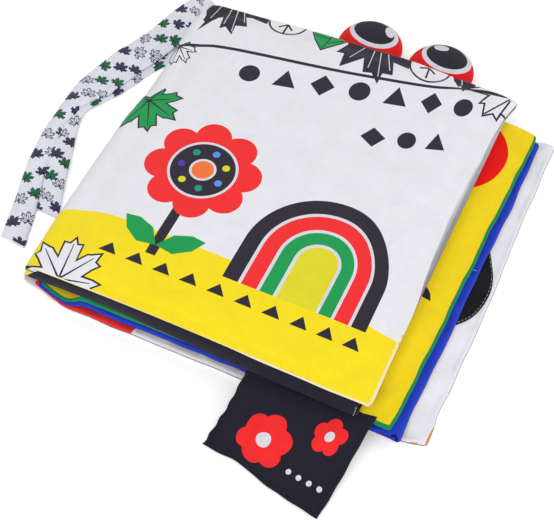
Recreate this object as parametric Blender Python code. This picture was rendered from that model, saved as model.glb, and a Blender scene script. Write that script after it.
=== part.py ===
"""Crinkle cloth book: two soft covers, two inner leaves, a hanging flap, two padded eyes and two ties.

Metres, +Z up. The book lies closed on its back cover. X runs from the spine's fold to the free edges,
Y from the pages' bottom edge to their top edge, and the origin is the middle of the flat underside.
"""

import math
from collections import namedtuple

import bmesh
import bpy
from mathutils import Matrix, Vector

# Materials' thickness and the room between pieces
CLOTH = 0.0006
FILM = 0.0003
CLEARANCE = 0.0003
SEAM_THICKNESS = 2 * CLOTH + CLEARANCE

# Pages: height along the spine, and how far each free edge is from the spine's fold
PAGE_HEIGHT = 0.170
LEAF_SETBACK = 0.0010
FRONT_COVER_REACH = 0.156
LEAF_TWO_REACH = 0.167
LEAF_THREE_REACH = 0.170
BACK_COVER_REACH = 0.178
CORNER_RADIUS = 0.004
DRAW_IN = 0.0010

# Thicknesses in the middle of each page
BACK_COVER_THICKNESS = 0.0054
LEAF_THICKNESS = 0.0034
FRONT_COVER_THICKNESS = 0.0096
FRONT_COVER_TILT = 0.0015
FRONT_COVER_CROWN = 0.0006
EDGE_ROUNDING = 0.010
SHOULDER = 0.0022
SEAM_STEP = 0.0005
FLATTENING = 0.0005

# Spine: the leaves are sewn down this far from the fold, and their bound edges curl up behind the seam
BINDING_MARGIN = 0.013
HINGE_ROOM = 0.0011
MARGIN_RISE = 0.007
BACK_SEAM_HEIGHT = 0.0020

# Round touch patch on the back cover's lining
PATCH_RADIUS = 0.0335
PATCH_THICKNESS = 0.0006
PATCH_EDGE_DISTANCE = 0.0360
PATCH_ABOVE_MIDDLE = -0.0030
PATCH_ROOM = 0.0004

# Flap that hangs out over the bottom edge of the second leaf
FLAP_WIDTH = 0.0550
FLAP_SHORT_SIDE = 0.0340
FLAP_LONG_SIDE = 0.0455
FLAP_LEAN = 0.0045
FLAP_THICKNESS = 0.0030
FLAP_FROM_FREE_EDGE = 0.0125
FLAP_ROUNDING = 0.004
TAB_THICKNESS = 0.0009
TAB_OVERHANG = 0.0012

# Eyes in the top edge of the second leaf
EYE_WIDTH = 0.0315
EYE_LENGTH = 0.0285
EYE_THICKNESS = 0.0085
EYE_SPACING = 0.0365
EYES_FROM_FREE_EDGE = 0.0724
EYE_TILT = math.radians(5)

# Ties: flat double strips, sewn in at the top end of the spine
TIE_WIDTH = 0.0125
TIE_THICKNESS = 0.0010
TIE_GAP = 0.0004
TIE_LONG_LENGTH = 0.1950
TIE_SHORT_LENGTH = 0.1760
TIE_ROOT_REACH = 0.0215
TIE_TURN_RADIUS = 0.0115
TIE_ROOT_HEIGHT = 0.0040

# Level of each page's middle surface, and the heights that the seam holds them at
SPINE_X = -(BINDING_MARGIN + BACK_COVER_REACH) / 2
HINGE_X = SPINE_X + BINDING_MARGIN
LEAF_HALF_HEIGHT = PAGE_HEIGHT / 2 - LEAF_SETBACK
LEAF_THREE_LEVEL = BACK_COVER_THICKNESS + PATCH_ROOM + PATCH_THICKNESS + CLEARANCE + LEAF_THICKNESS / 2
LEAF_TWO_LEVEL = LEAF_THREE_LEVEL + LEAF_THICKNESS + CLEARANCE
FRONT_COVER_LOW = LEAF_TWO_LEVEL + LEAF_THICKNESS / 2 + CLEARANCE
LEAF_THREE_HINGE = BACK_SEAM_HEIGHT + SEAM_THICKNESS + CLEARANCE
LEAF_TWO_HINGE = LEAF_THREE_HINGE + SEAM_THICKNESS + CLEARANCE
COVER_HINGE = FRONT_COVER_LOW - CLEARANCE / 2
TAB_END = PAGE_HEIGHT / 2 + TAB_OVERHANG
EDGE_HINGE = TAB_END + CLEARANCE / 2
EDGE_HINGE_HEIGHT = LEAF_TWO_LEVEL + TAB_THICKNESS / 2

# Counts of facets
SIDE_STEPS = 5
CORNER_STEPS = 3
EYE_STEPS = 24
BAND_STEPS = 8
FLAP_STEPS = 8
TIE_STEP_SHARE = 0.5
FLAP_FILL_SHARE = 0.55

# How far in the rings of a page lie, as shares of the rounding, and then as shares of the half height
ROUNDING_SHARES = (0.0, 0.2, 0.55, 1.0)
MIDDLE_SHARES = (0.35, 0.7)
FILL_SHARES = (0.55, 1.0)
CORNER_FLOOR_SHARE = 0.25

# Which way each tie points along its free length, as (share of the length, degrees from +X)
SHORT_TIE_TURN_SHARES = (
    (0.117, 266.0),
    (0.18, 260.0),
    (0.27, 250.0),
    (0.33, 242.0),
    (0.51, 243.0),
    (0.59, 262.0),
    (0.65, 284.0),
    (1.0, 292.0),
)
LONG_TIE_TURN_SHARES = (
    (0.095, 254.0),
    (0.24, 252.0),
    (0.50, 247.0),
    (0.54, 277.0),
    (1.0, 280.0),
)
TIE_FALL_SHARE = 0.89
TIE_ROOT_FALL_SHARE = 0.8

# How far the spine's cloth reaches up beside the front cover's rounded shoulder
SPINE_TUCK_SHARE = 0.12
MARGIN_BEND_SHARE = 1.3
WALL_STEPS = 2

# Outline of the patch and the eyes, from near their middle to their rim
PATCH_RING_SHARES = (0.3, 0.6, 0.8, 0.92, 1.0)
EYE_RING_SHARES = (0.3, 0.6, 0.82, 0.94, 1.0)
EYE_ROOT_SHARE = 0.45
EYE_ROOT_SQUARE_SHARE = 0.6
EYE_TAB_SHARE = 0.5
SHARP_ANGLE = math.radians(50)

Panel = namedtuple("Panel", "left right half_height radius draw_in")

COLOURS = {
    "white": (0.80, 0.80, 0.84),
    "black": (0.03, 0.028, 0.034),
    "yellow": (0.93, 0.73, 0.02),
    "green": (0.01, 0.35, 0.08),
    "blue": (0.014, 0.033, 0.58),
    "red": (0.83, 0.01, 0.01),
    "film": (0.75, 0.77, 0.80),
    "wadding": (0.86, 0.86, 0.85),
}


def clear_scene():
    """Remove what the file opens with."""
    for thing in list(bpy.data.objects):
        bpy.data.objects.remove(thing)


def material(colour, roughness=0.85):
    """One Principled material for each colour, made once."""
    name = f"{colour}_finish"
    found = bpy.data.materials.get(name)
    if found:
        return found
    made = bpy.data.materials.new(name)
    made.use_nodes = True
    shader = made.node_tree.nodes["Principled BSDF"]
    shader.inputs["Base Color"].default_value = (*COLOURS[colour], 1)
    shader.inputs["Roughness"].default_value = roughness
    shader.inputs["Metallic"].default_value = 0
    return made


def pivot(name, place):
    """An empty on a joint's axis."""
    empty = bpy.data.objects.new(name, None)
    empty.location = place
    bpy.context.scene.collection.objects.link(empty)
    return empty


def add_object(name, mesh, colour, parent=None):
    """A named object in world place, carried by its joint's empty where it has one."""
    mesh.materials.append(material(colour))
    made = bpy.data.objects.new(name, mesh)
    bpy.context.scene.collection.objects.link(made)
    if parent:
        made.parent = parent
        mesh.transform(Matrix.Translation(-parent.location))
    return made


def finish_mesh(name, work):
    """Turn the faces outwards and shade the soft skin smooth."""
    bmesh.ops.recalc_face_normals(work, faces=work.faces)
    mesh = bpy.data.meshes.new(name)
    work.to_mesh(mesh)
    work.free()
    mesh.shade_smooth()
    mesh.set_sharp_from_angle(angle=SHARP_ANGLE)
    return mesh


def loft(name, rings):
    """A closed body: rings of points from the middle of the top, out to the edge and back underneath.

    The first and the last ring are closed by a fan round their own middle. Each band is cut into
    triangles the same way above and below, so that layers with the same rings keep their room.
    """
    work = bmesh.new()
    made = [[work.verts.new(point) for point in ring] for ring in rings]
    count = len(made[0])
    for level, (one, two) in enumerate(zip(made, made[1:])):
        inner, outer = (one, two) if level < len(made) // 2 else (two, one)
        for i in range(count):
            j = (i + 1) % count
            work.faces.new((inner[i], outer[i], outer[j]))
            work.faces.new((inner[i], outer[j], inner[j]))
    for ring, points in ((made[0], rings[0]), (made[-1], rings[-1])):
        middle = work.verts.new(sum(points, Vector()) / count)
        for i in range(count):
            work.faces.new((middle, ring[i], ring[(i + 1) % count]))
    return finish_mesh(name, work)


def outline(panel, inset):
    """Points round a page, anticlockwise from the left end of its bottom side, this far in from its edge.

    Each side is drawn in between its corners, as cloth that is sewn round a filling is.
    """
    left = panel.left + inset
    right = panel.right - inset
    half = panel.half_height - inset
    radius = max(panel.radius - inset, panel.radius * CORNER_FLOOR_SHARE)
    sides = (
        (Vector((left, -half, 0)), Vector((right, -half, 0)), Vector((0, 1, 0))),
        (Vector((right, -half, 0)), Vector((right, half, 0)), Vector((-1, 0, 0))),
        (Vector((right, half, 0)), Vector((left, half, 0)), Vector((0, -1, 0))),
        (Vector((left, half, 0)), Vector((left, -half, 0)), Vector((1, 0, 0))),
    )
    points = []
    for start, end, inward in sides:
        along = (end - start).normalized()
        first = start + along * radius
        last = end - along * radius
        for step in range(SIDE_STEPS + 1):
            share = step / SIDE_STEPS
            pull = inward * panel.draw_in * math.sin(math.pi * share)
            points.append(first.lerp(last, share) + pull)
        centre = last + inward * radius
        for step in range(1, CORNER_STEPS):
            turn = math.pi / 2 * step / CORNER_STEPS
            points.append(centre + (along * math.sin(turn) - inward * math.cos(turn)) * radius)
    return points


def page_insets(panel, shares=ROUNDING_SHARES):
    """How far in each ring of a page lies, from its edge to near its middle."""
    near = [EDGE_ROUNDING * share for share in shares]
    far = [panel.half_height * share for share in MIDDLE_SHARES]
    return near + far


def ease(share):
    """0 to 1 with level ends."""
    share = min(max(share, 0), 1)
    return share * share * (3 - 2 * share)


def swell(inset):
    """Share of a page's full thickness at this distance from its seam."""
    share = min(max(inset / EDGE_ROUNDING, 0), 1)
    return 1 - (1 - share) ** 2


def fullness(panel, x, inset):
    """Share of a sewn page's full thickness. It opens slowly from the binding seam, where the page turns."""
    return min(swell(inset), ease((x - panel.left) / EDGE_ROUNDING))


def slab(name, panel, insets, upper, lower):
    """A closed layer of a page between two surfaces, each given as height at (x, inset)."""
    rings = []
    for inset in reversed(insets):
        rings.append([Vector((p.x, p.y, upper(p.x, inset))) for p in outline(panel, inset)])
    for inset in insets:
        rings.append([Vector((p.x, p.y, lower(p.x, inset))) for p in outline(panel, inset)])
    return loft(name, rings)


def page_panel(reach, half_height=LEAF_HALF_HEIGHT):
    """The outline of a page that is sewn down along the binding seam."""
    return Panel(HINGE_X + CLEARANCE, SPINE_X + reach, half_height, CORNER_RADIUS, DRAW_IN)


def page_layers(name, panel, upper, lower, colours, parent=None):
    """Front cloth, wadding, crinkle film and back cloth of one page, from the top down.

    upper and lower give the page's outer surfaces at (x, inset).
    """
    insets = page_insets(panel)
    fill = page_insets(panel, FILL_SHARES)
    front_under = lambda x, d: upper(x, d) - CLOTH
    back_top = lambda x, d: lower(x, d) + CLOTH
    film_under = lambda x, d: back_top(x, d) + CLEARANCE
    film_top = lambda x, d: film_under(x, d) + FILM
    wadding_top = lambda x, d: front_under(x, d) - CLEARANCE
    wadding_under = lambda x, d: film_top(x, d) + CLEARANCE
    front, back = colours
    front_name, back_name = name + "_front_cloth", name + "_back_cloth"
    add_object(front_name, slab(front_name, panel, insets, upper, front_under), front, parent)
    add_object(back_name, slab(back_name, panel, insets, back_top, lower), back, parent)
    wadding = slab(name + "_wadding", panel, fill, wadding_top, wadding_under)
    add_object(name + "_wadding", wadding, "wadding", parent)
    add_object(name + "_film", slab(name + "_film", panel, fill, film_top, film_under), "film", parent)


def inner_leaf(name, reach, level, hinge_height, colours, parent):
    """A thin leaf that dips to the binding seam on its spine side."""
    panel = page_panel(reach)
    half_seam = SEAM_THICKNESS / 2
    half_middle = LEAF_THICKNESS / 2

    def middle(x):
        return hinge_height + (level - hinge_height) * ease((x - panel.left) / EDGE_ROUNDING)

    def half(x, inset):
        return half_seam + (half_middle - half_seam) * fullness(panel, x, inset)

    def upper(x, inset):
        return middle(x) + half(x, inset)

    def lower(x, inset):
        return middle(x) - half(x, inset)

    page_layers(name, panel, upper, lower, colours, parent)


def back_cover_upper(panel, x, inset):
    """Height of the back cover's lining."""
    low = BACK_SEAM_HEIGHT + SEAM_THICKNESS / 2
    return low + (BACK_COVER_THICKNESS - low) * fullness(panel, x, inset)


def back_cover():
    """The cover that the book lies on. Its underside is pressed flat."""
    panel = page_panel(BACK_COVER_REACH, PAGE_HEIGHT / 2)
    seam_low = BACK_SEAM_HEIGHT - SEAM_THICKNESS / 2

    def lower(x, inset):
        return max(0, seam_low * (1 - swell(inset)) - FLATTENING * swell(inset))

    def upper(x, inset):
        return back_cover_upper(panel, x, inset)

    page_layers("back_cover", panel, upper, lower, ("white", "white"))


def touch_patch():
    """Round patch on the lining, which follows the lining's fall to the free edge."""
    centre = Vector((SPINE_X + BACK_COVER_REACH - PATCH_EDGE_DISTANCE, PATCH_ABOVE_MIDDLE, 0))
    panel = page_panel(BACK_COVER_REACH, PAGE_HEIGHT / 2)

    def ring(share, lift):
        points = []
        for step in range(EYE_STEPS):
            turn = 2 * math.pi * step / EYE_STEPS
            flat = centre + Vector((math.cos(turn), math.sin(turn), 0)) * PATCH_RADIUS * share
            inset = min(panel.right - panel.draw_in - flat.x, panel.half_height - abs(flat.y))
            flat.z = back_cover_upper(panel, flat.x, inset) + lift
            points.append(flat)
        return points

    low = PATCH_ROOM
    high = PATCH_ROOM + PATCH_THICKNESS
    rings = [ring(share, high) for share in PATCH_RING_SHARES]
    rings += [ring(share, low) for share in reversed(PATCH_RING_SHARES)]
    add_object("touch_patch", loft("touch_patch", rings), "black")


def cover_top(x):
    """Height of the front cover's shoulder line, which rises a little to the free edge."""
    share = (x - SPINE_X) / FRONT_COVER_REACH
    return FRONT_COVER_LOW + FRONT_COVER_THICKNESS + FRONT_COVER_TILT * share


def seam_side_share(index):
    """1 on the bottom side of a page's ring, 0 on its other sides, sliding along the corners between."""
    count = 4 * (SIDE_STEPS + CORNER_STEPS)
    after = index - SIDE_STEPS
    before = count - index
    if after <= 0:
        return 1.0
    nearest = min(after, before)
    return max(0.0, 1 - nearest / CORNER_STEPS)


def boxed_rings(panel, upwards, into=0.0):
    """Rings of a box-shaped cloth from near its middle to the seam in its wall.

    upwards is True for the printed cloth and False for the lining, into is how far the surface lies
    inside the outer one, and the seam is high in the bottom wall and low in the others.
    """
    arc = [(0.0, 1.0), (1 - math.sqrt(0.5), 1 - math.sqrt(0.5)), (1.0, 0.0)]
    flat = [(panel.half_height * share, 0.0) for share in MIDDLE_SHARES]
    turns = [(SHOULDER * out + into * (1 - out), SHOULDER * down + into * (1 - down)) for out, down in arc]
    profile = [(inset + into, into) for inset, _ in reversed(flat)] + list(reversed(turns))
    rings = []
    for inset, drop in profile:
        ring = []
        for p in outline(panel, inset):
            bulge = FRONT_COVER_CROWN * min(inset / (panel.half_height * MIDDLE_SHARES[0]), 1)
            height = cover_top(p.x) + bulge - drop if upwards else FRONT_COVER_LOW + drop
            ring.append(Vector((p.x, p.y, height)))
        rings.append(ring)
    seam = []
    for index, p in enumerate(outline(panel, into)):
        high = cover_top(p.x) - SHOULDER - SEAM_STEP
        low = FRONT_COVER_LOW + SHOULDER + SEAM_STEP + CLEARANCE
        height = low + (high - low) * seam_side_share(index)
        seam.append(Vector((p.x, p.y, height if upwards else height - CLEARANCE)))
    rings.append(seam)
    return rings


def front_cover(parent):
    """Thick cover: printed cloth over the top, lining under it, wadding and film between them."""
    panel = Panel(SPINE_X, SPINE_X + FRONT_COVER_REACH, PAGE_HEIGHT / 2, CORNER_RADIUS, DRAW_IN)
    for name, upwards, colour in (
        ("front_cover_front_cloth", True, "white"),
        ("front_cover_back_cloth", False, "black"),
    ):
        outer = boxed_rings(panel, upwards)
        inner = boxed_rings(panel, upwards, CLOTH)
        add_object(name, loft(name, outer + list(reversed(inner))), colour, parent)
    skin = CLOTH + CLEARANCE
    inside = Panel(panel.left + skin, panel.right - skin, panel.half_height - skin, CORNER_RADIUS, DRAW_IN)
    film_low = FRONT_COVER_LOW + skin
    film_high = film_low + FILM
    flat = [SHOULDER] + [panel.half_height * share for share in MIDDLE_SHARES]
    film = slab("front_cover_film", inside, flat, lambda x, d: film_high, lambda x, d: film_low)
    add_object("front_cover_film", film, "film", parent)

    def wadding_top(x, inset):
        round_share = 1 - min(inset / SHOULDER, 1)
        crown = FRONT_COVER_CROWN * min(inset / (panel.half_height * MIDDLE_SHARES[0]), 1)
        return cover_top(x) + crown - skin - SHOULDER * round_share ** 2

    def wadding_low(x, inset):
        round_share = 1 - min(inset / SHOULDER, 1)
        return film_high + CLEARANCE + SHOULDER * round_share ** 2

    insets = [0.0, SHOULDER * (1 - math.sqrt(0.5))] + flat
    wadding = slab("front_cover_wadding", inside, insets, wadding_top, wadding_low)
    add_object("front_cover_wadding", wadding, "wadding", parent)


def band(name, path, thickness, low_y, high_y, stacked=False):
    """A strip of cloth along the spine: a line of (x, z) points given its thickness and drawn along Y.

    Stacked strips are measured upright, so that equal lines keep the same room between them.
    """
    work = bmesh.new()
    left_side = []
    right_side = []
    for i, point in enumerate(path):
        before = path[max(i - 1, 0)]
        after = path[min(i + 1, len(path) - 1)]
        along = (after - before).normalized()
        across = Vector((0, 0, -1)) if stacked else Vector((-along.z, 0, along.x))
        across = across * thickness / 2
        left_side.append(point + across)
        right_side.append(point - across)
    section = left_side + list(reversed(right_side))
    face = work.faces.new([work.verts.new((p.x, low_y, p.z)) for p in section])
    extruded = bmesh.ops.extrude_face_region(work, geom=[face])
    moved = [v for v in extruded["geom"] if isinstance(v, bmesh.types.BMVert)]
    bmesh.ops.translate(work, verts=moved, vec=(0, high_y - low_y, 0))
    bmesh.ops.triangulate(work, faces=work.faces)
    return finish_mesh(name, work)


def margin_path(height, left_end):
    """The line that bound cloth follows, from beside the seam up to its left end."""
    right_end = HINGE_X - HINGE_ROOM
    points = []
    for step in range(BAND_STEPS + 1):
        share = step / BAND_STEPS
        x = right_end + (left_end - right_end) * share
        points.append(Vector((x, 0, height + MARGIN_RISE * share ** MARGIN_BEND_SHARE)))
    return points


def spine():
    """The bound edges of the three sewn pages, and the outer cloth that wraps them."""
    left_end = SPINE_X + CLEARANCE + CLOTH + CLEARANCE + CLOTH / 2
    leaf_half = LEAF_HALF_HEIGHT - DRAW_IN
    for name, height, colour in (
        ("back_cover_margin", BACK_SEAM_HEIGHT, "red"),
        ("leaf_three_margin", LEAF_THREE_HINGE, "blue"),
        ("leaf_two_margin", LEAF_TWO_HINGE, "yellow"),
    ):
        path = margin_path(height, left_end)
        add_object(name, band(name, path, SEAM_THICKNESS, -leaf_half, leaf_half, True), colour)
    below = BACK_SEAM_HEIGHT - SEAM_THICKNESS / 2 - CLEARANCE - CLOTH / 2
    under = margin_path(below, left_end)
    wall_x = SPINE_X + CLEARANCE + CLOTH / 2
    turn_height = below + MARGIN_RISE + (left_end - wall_x)
    top = FRONT_COVER_LOW + SHOULDER * SPINE_TUCK_SHARE
    wall = []
    for step in range(WALL_STEPS + 1):
        wall.append(Vector((wall_x, 0, turn_height + (top - turn_height) * step / WALL_STEPS)))
    half = PAGE_HEIGHT / 2 - DRAW_IN
    add_object("spine_cloth", band("spine_cloth", under + wall, CLOTH, -half, half), "white")


def flap_point(across_share, down_share, lift):
    """A point of the flap's middle surface, lifted by half its thickness.

    It leaves the page's edge level, hangs out over it and comes to lie on the table.
    """
    side = FLAP_SHORT_SIDE + (FLAP_LONG_SIDE - FLAP_SHORT_SIDE) * across_share
    right = SPINE_X + LEAF_TWO_REACH - FLAP_FROM_FREE_EDGE
    x = right - FLAP_WIDTH * (1 - across_share) - FLAP_LEAN * down_share
    drop = LEAF_TWO_LEVEL - SEAM_THICKNESS / 2 - FLATTENING
    fall = drop * (1 - math.cos(math.pi * down_share)) / 2
    y = -EDGE_HINGE - CLEARANCE / 2 - side * down_share * math.cos(math.asin(drop / side) * down_share)
    return Vector((x, y, LEAF_TWO_LEVEL - fall + lift))


def flap_layer(name, colour, low, high, first_inset, parent):
    """One layer of the flap between two heights, given as shares of its half thickness at (inset)."""
    work = bmesh.new()
    count = FLAP_STEPS

    def place(i, j, lift_of):
        across = first_inset / FLAP_WIDTH + (1 - 2 * first_inset / FLAP_WIDTH) * i / count
        down = first_inset / FLAP_SHORT_SIDE + (1 - 2 * first_inset / FLAP_SHORT_SIDE) * j / count
        inset = min(across, 1 - across) * FLAP_WIDTH
        inset = min(inset, min(down, 1 - down) * FLAP_SHORT_SIDE)
        return flap_point(across, down, lift_of(inset))

    top = [[work.verts.new(place(i, j, high)) for j in range(count + 1)] for i in range(count + 1)]
    under = [[work.verts.new(place(i, j, low)) for j in range(count + 1)] for i in range(count + 1)]
    for grid in (top, under):
        for i in range(count):
            for j in range(count):
                work.faces.new((grid[i][j], grid[i + 1][j], grid[i + 1][j + 1], grid[i][j + 1]))
    rim = [(i, 0) for i in range(count)] + [(count, j) for j in range(count)]
    rim += [(count - i, count) for i in range(count)] + [(0, count - j) for j in range(count)]
    for (i, j), (k, m) in zip(rim, rim[1:] + rim[:1]):
        work.faces.new((top[i][j], top[k][m], under[k][m], under[i][j]))
    bmesh.ops.triangulate(work, faces=work.faces)
    add_object(name, finish_mesh(name, work), colour, parent)


def flap(parent):
    """Face cloth, thin filling and back cloth, joined to the page by a sewn tab."""
    half_seam = SEAM_THICKNESS / 2
    half_middle = FLAP_THICKNESS / 2

    def half(inset):
        share = 1 - (1 - min(inset / FLAP_ROUNDING, 1)) ** 2
        return half_seam + (half_middle - half_seam) * share

    def down_from(depth):
        return lambda inset: half(inset) - depth

    def up_from(depth):
        return lambda inset: depth - half(inset)

    flap_layer("flap_face_cloth", "black", down_from(CLOTH), half, 0.0, parent)
    flap_layer("flap_back_cloth", "black", up_from(0.0), up_from(CLOTH), 0.0, parent)
    filling = (half_middle - CLOTH - CLEARANCE) * FLAP_FILL_SHARE
    flap_layer("flap_filling", "wadding", lambda d: -filling, lambda d: filling, FLAP_ROUNDING, parent)


def tab(name, left, right, side, colour, parent):
    """The seam allowance of an edge piece, between the second leaf's seam and the piece's bending line."""
    panel = page_panel(LEAF_TWO_REACH)
    ends = [(x - panel.left) / (panel.right - panel.left) for x in (left, right)]
    near = LEAF_HALF_HEIGHT - panel.draw_in * min(math.sin(math.pi * share) for share in ends) + CLEARANCE
    work = bmesh.new()
    size = Vector((right - left, TAB_END - near, TAB_THICKNESS))
    centre = Vector(((left + right) / 2, side * (TAB_END + near) / 2, LEAF_TWO_LEVEL))
    bmesh.ops.create_cube(work, size=1.0, matrix=Matrix.LocRotScale(centre, None, size))
    add_object(name, finish_mesh(name, work), colour, parent)


def eye_ring(centre_x, share, lift):
    """Points round an eye at this share of its outline. Its root side is straighter than its top."""
    middle = EYE_LENGTH * EYE_ROOT_SHARE
    points = []
    for step in range(EYE_STEPS):
        turn = 2 * math.pi * step / EYE_STEPS
        side, rise = math.cos(turn), math.sin(turn)
        squareness = 1.0 if rise > 0 else EYE_ROOT_SQUARE_SHARE
        x = math.copysign(abs(side) ** squareness, side) * EYE_WIDTH / 2
        reach = EYE_LENGTH - middle if rise > 0 else middle
        y = math.copysign(abs(rise) ** squareness, rise) * reach
        away = middle + y * share
        flat = Vector((x * share, away, lift))
        flat.rotate(Matrix.Rotation(EYE_TILT, 3, "X"))
        points.append(flat + Vector((centre_x, EDGE_HINGE + CLEARANCE / 2, LEAF_TWO_LEVEL)))
    return points


def eye(name, centre_x, parent):
    """A stuffed eye: two cloths sewn round a filling."""
    half_seam = SEAM_THICKNESS / 2

    def half(share):
        return half_seam + (EYE_THICKNESS / 2 - half_seam) * math.sqrt(max(0.0, 1 - share ** 2))

    front = [eye_ring(centre_x, s, half(s)) for s in EYE_RING_SHARES]
    front += [eye_ring(centre_x, s, half(s) - CLOTH) for s in reversed(EYE_RING_SHARES)]
    back = [eye_ring(centre_x, s, CLOTH - half(s)) for s in EYE_RING_SHARES]
    back += [eye_ring(centre_x, s, -half(s)) for s in reversed(EYE_RING_SHARES)]
    inner_shares = EYE_RING_SHARES[:-1]
    skin = CLOTH + CLEARANCE
    filling = [eye_ring(centre_x, s, half(s) - skin) for s in inner_shares]
    filling += [eye_ring(centre_x, s, skin - half(s)) for s in reversed(inner_shares)]
    add_object(name + "_front_cloth", loft(name + "_front_cloth", front), "red", parent)
    add_object(name + "_back_cloth", loft(name + "_back_cloth", back), "red", parent)
    add_object(name + "_stuffing", loft(name + "_stuffing", filling), "wadding", parent)


def tie_heading(distance, length, turns):
    """Degrees that a tie points at this distance: up from the spine's end, left, then by its turns."""
    straight = TIE_ROOT_REACH - TIE_TURN_RADIUS * math.pi / 2
    if distance <= straight:
        return 90.0
    if distance <= TIE_ROOT_REACH:
        return 90.0 + 90.0 * (distance - straight) / (TIE_ROOT_REACH - straight)
    share = (distance - TIE_ROOT_REACH) / (length - TIE_ROOT_REACH)
    last_share, last_degrees = 0.0, 180.0
    for next_share, degrees in turns:
        if share <= next_share:
            passed = (share - last_share) / (next_share - last_share)
            return last_degrees + (degrees - last_degrees) * passed
        last_share, last_degrees = next_share, degrees
    return last_degrees


def tie_line(length, start, end, turns):
    """(distance, centre point, heading) along a tie between two distances from its sewn end.

    turns are (share of the free length, degrees) pairs.
    """
    place = Vector((SPINE_X + BINDING_MARGIN / 2, PAGE_HEIGHT / 2 - DRAW_IN + CLEARANCE, 0))
    count = max(2, round((end - start) / (TIE_WIDTH * TIE_STEP_SHARE)))
    stops = [start + (end - start) * i / count for i in range(count + 1)]
    line = []
    before = 0.0
    for stop in stops:
        pieces = max(1, math.ceil((stop - before) / CLOTH))
        short = (stop - before) / pieces
        for piece in range(pieces):
            turn = math.radians(tie_heading(before + short * (piece + 0.5), length, turns))
            place = place + Vector((math.cos(turn), math.sin(turn), 0)) * short
        turn = math.radians(tie_heading(stop, length, turns))
        line.append((stop, place.copy(), Vector((math.cos(turn), math.sin(turn), 0))))
        before = stop
    return line


def strap(name, line, height, parent, colour="white"):
    """A flat strip along a line of (distance, place, heading), at a height given by distance."""
    work = bmesh.new()
    rows = []
    for distance, place, along in line:
        across = Vector((-along.y, along.x, 0)) * TIE_WIDTH / 2
        low = Vector((0, 0, height(distance)))
        high = low + Vector((0, 0, TIE_THICKNESS))
        left = place + across
        right = place - across
        corners = (right + low, left + low, left + high, right + high)
        rows.append([work.verts.new(corner) for corner in corners])
    for one, two in zip(rows, rows[1:]):
        for i in range(4):
            j = (i + 1) % 4
            work.faces.new((one[i], one[j], two[j], two[i]))
    work.faces.new(rows[0])
    work.faces.new(rows[-1])
    bmesh.ops.triangulate(work, faces=work.faces)
    add_object(name, finish_mesh(name, work), colour, parent)


def ties(short_pivot, long_pivot):
    """The short tie lies on the table, and the long one lies on it and passes it on the outside."""
    upper_level = TIE_THICKNESS + TIE_GAP

    def short_height(distance):
        return TIE_ROOT_HEIGHT * (1 - ease(distance / (TIE_ROOT_REACH * TIE_ROOT_FALL_SHARE)))

    def long_height(distance):
        free = (distance - TIE_ROOT_REACH) / (TIE_LONG_LENGTH - TIE_ROOT_REACH)
        fallen = ease((free - TIE_FALL_SHARE) / (1 - TIE_FALL_SHARE))
        return upper_level * (1 - fallen) + short_height(distance)

    for name, length, turns, height, parent in (
        ("tie_short", TIE_SHORT_LENGTH, SHORT_TIE_TURN_SHARES, short_height, short_pivot),
        ("tie_long", TIE_LONG_LENGTH, LONG_TIE_TURN_SHARES, long_height, long_pivot),
    ):
        root = tie_line(length, 0.0, TIE_ROOT_REACH - CLEARANCE / 2, turns)
        free = tie_line(length, TIE_ROOT_REACH + CLEARANCE / 2, length, turns)
        strap(name + "_root", root, height, None)
        strap(name, free, height, parent)


def build():
    """Everything, body by body."""
    clear_scene()
    back_cover()
    touch_patch()
    spine()
    cover_pivot = pivot("front_cover_pivot", (SPINE_X, 0, COVER_HINGE))
    front_cover(cover_pivot)
    leaf_two_pivot = pivot("leaf_two_pivot", (HINGE_X, 0, LEAF_TWO_HINGE))
    colours = ("yellow", "green")
    inner_leaf("leaf_two", LEAF_TWO_REACH, LEAF_TWO_LEVEL, LEAF_TWO_HINGE, colours, leaf_two_pivot)
    leaf_three_pivot = pivot("leaf_three_pivot", (HINGE_X, 0, LEAF_THREE_HINGE))
    colours = ("blue", "black")
    inner_leaf("leaf_three", LEAF_THREE_REACH, LEAF_THREE_LEVEL, LEAF_THREE_HINGE, colours, leaf_three_pivot)
    free_edge = SPINE_X + LEAF_TWO_REACH
    flap_right = free_edge - FLAP_FROM_FREE_EDGE
    tab("flap_tab", flap_right - FLAP_WIDTH, flap_right, -1, "black", leaf_two_pivot)
    flap(pivot("flap_pivot", (flap_right - FLAP_WIDTH / 2, -EDGE_HINGE, EDGE_HINGE_HEIGHT)))
    middle = free_edge - EYES_FROM_FREE_EDGE
    for name, x in (("left_eye", middle - EYE_SPACING / 2), ("right_eye", middle + EYE_SPACING / 2)):
        tab_half = EYE_WIDTH * EYE_TAB_SHARE / 2
        tab(name + "_tab", x - tab_half, x + tab_half, 1, "red", leaf_two_pivot)
        eye(name, x, pivot(name + "_pivot", (x, EDGE_HINGE, EDGE_HINGE_HEIGHT)))
    exit_place = tie_line(TIE_LONG_LENGTH, TIE_ROOT_REACH, TIE_ROOT_REACH, LONG_TIE_TURN_SHARES)[0][1]
    swing_place = exit_place + Vector((0, TIE_WIDTH / 2, 0))
    short_pivot = pivot("tie_short_pivot", swing_place)
    ties(short_pivot, pivot("tie_long_pivot", swing_place))


build()
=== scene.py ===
"""Looks of the crinkle cloth book: printed soft covers, inner leaves, a flap, two padded eyes and two ties.

Every cloth is cut flat with its print, and then laid over the padded shape that it covers. Lengths are in
millimetres, with x from the spine's fold to the free edges, until the last step turns them into the part's
metres.
"""

import math

import bpy
import numpy as np
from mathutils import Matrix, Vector, geometry


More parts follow.
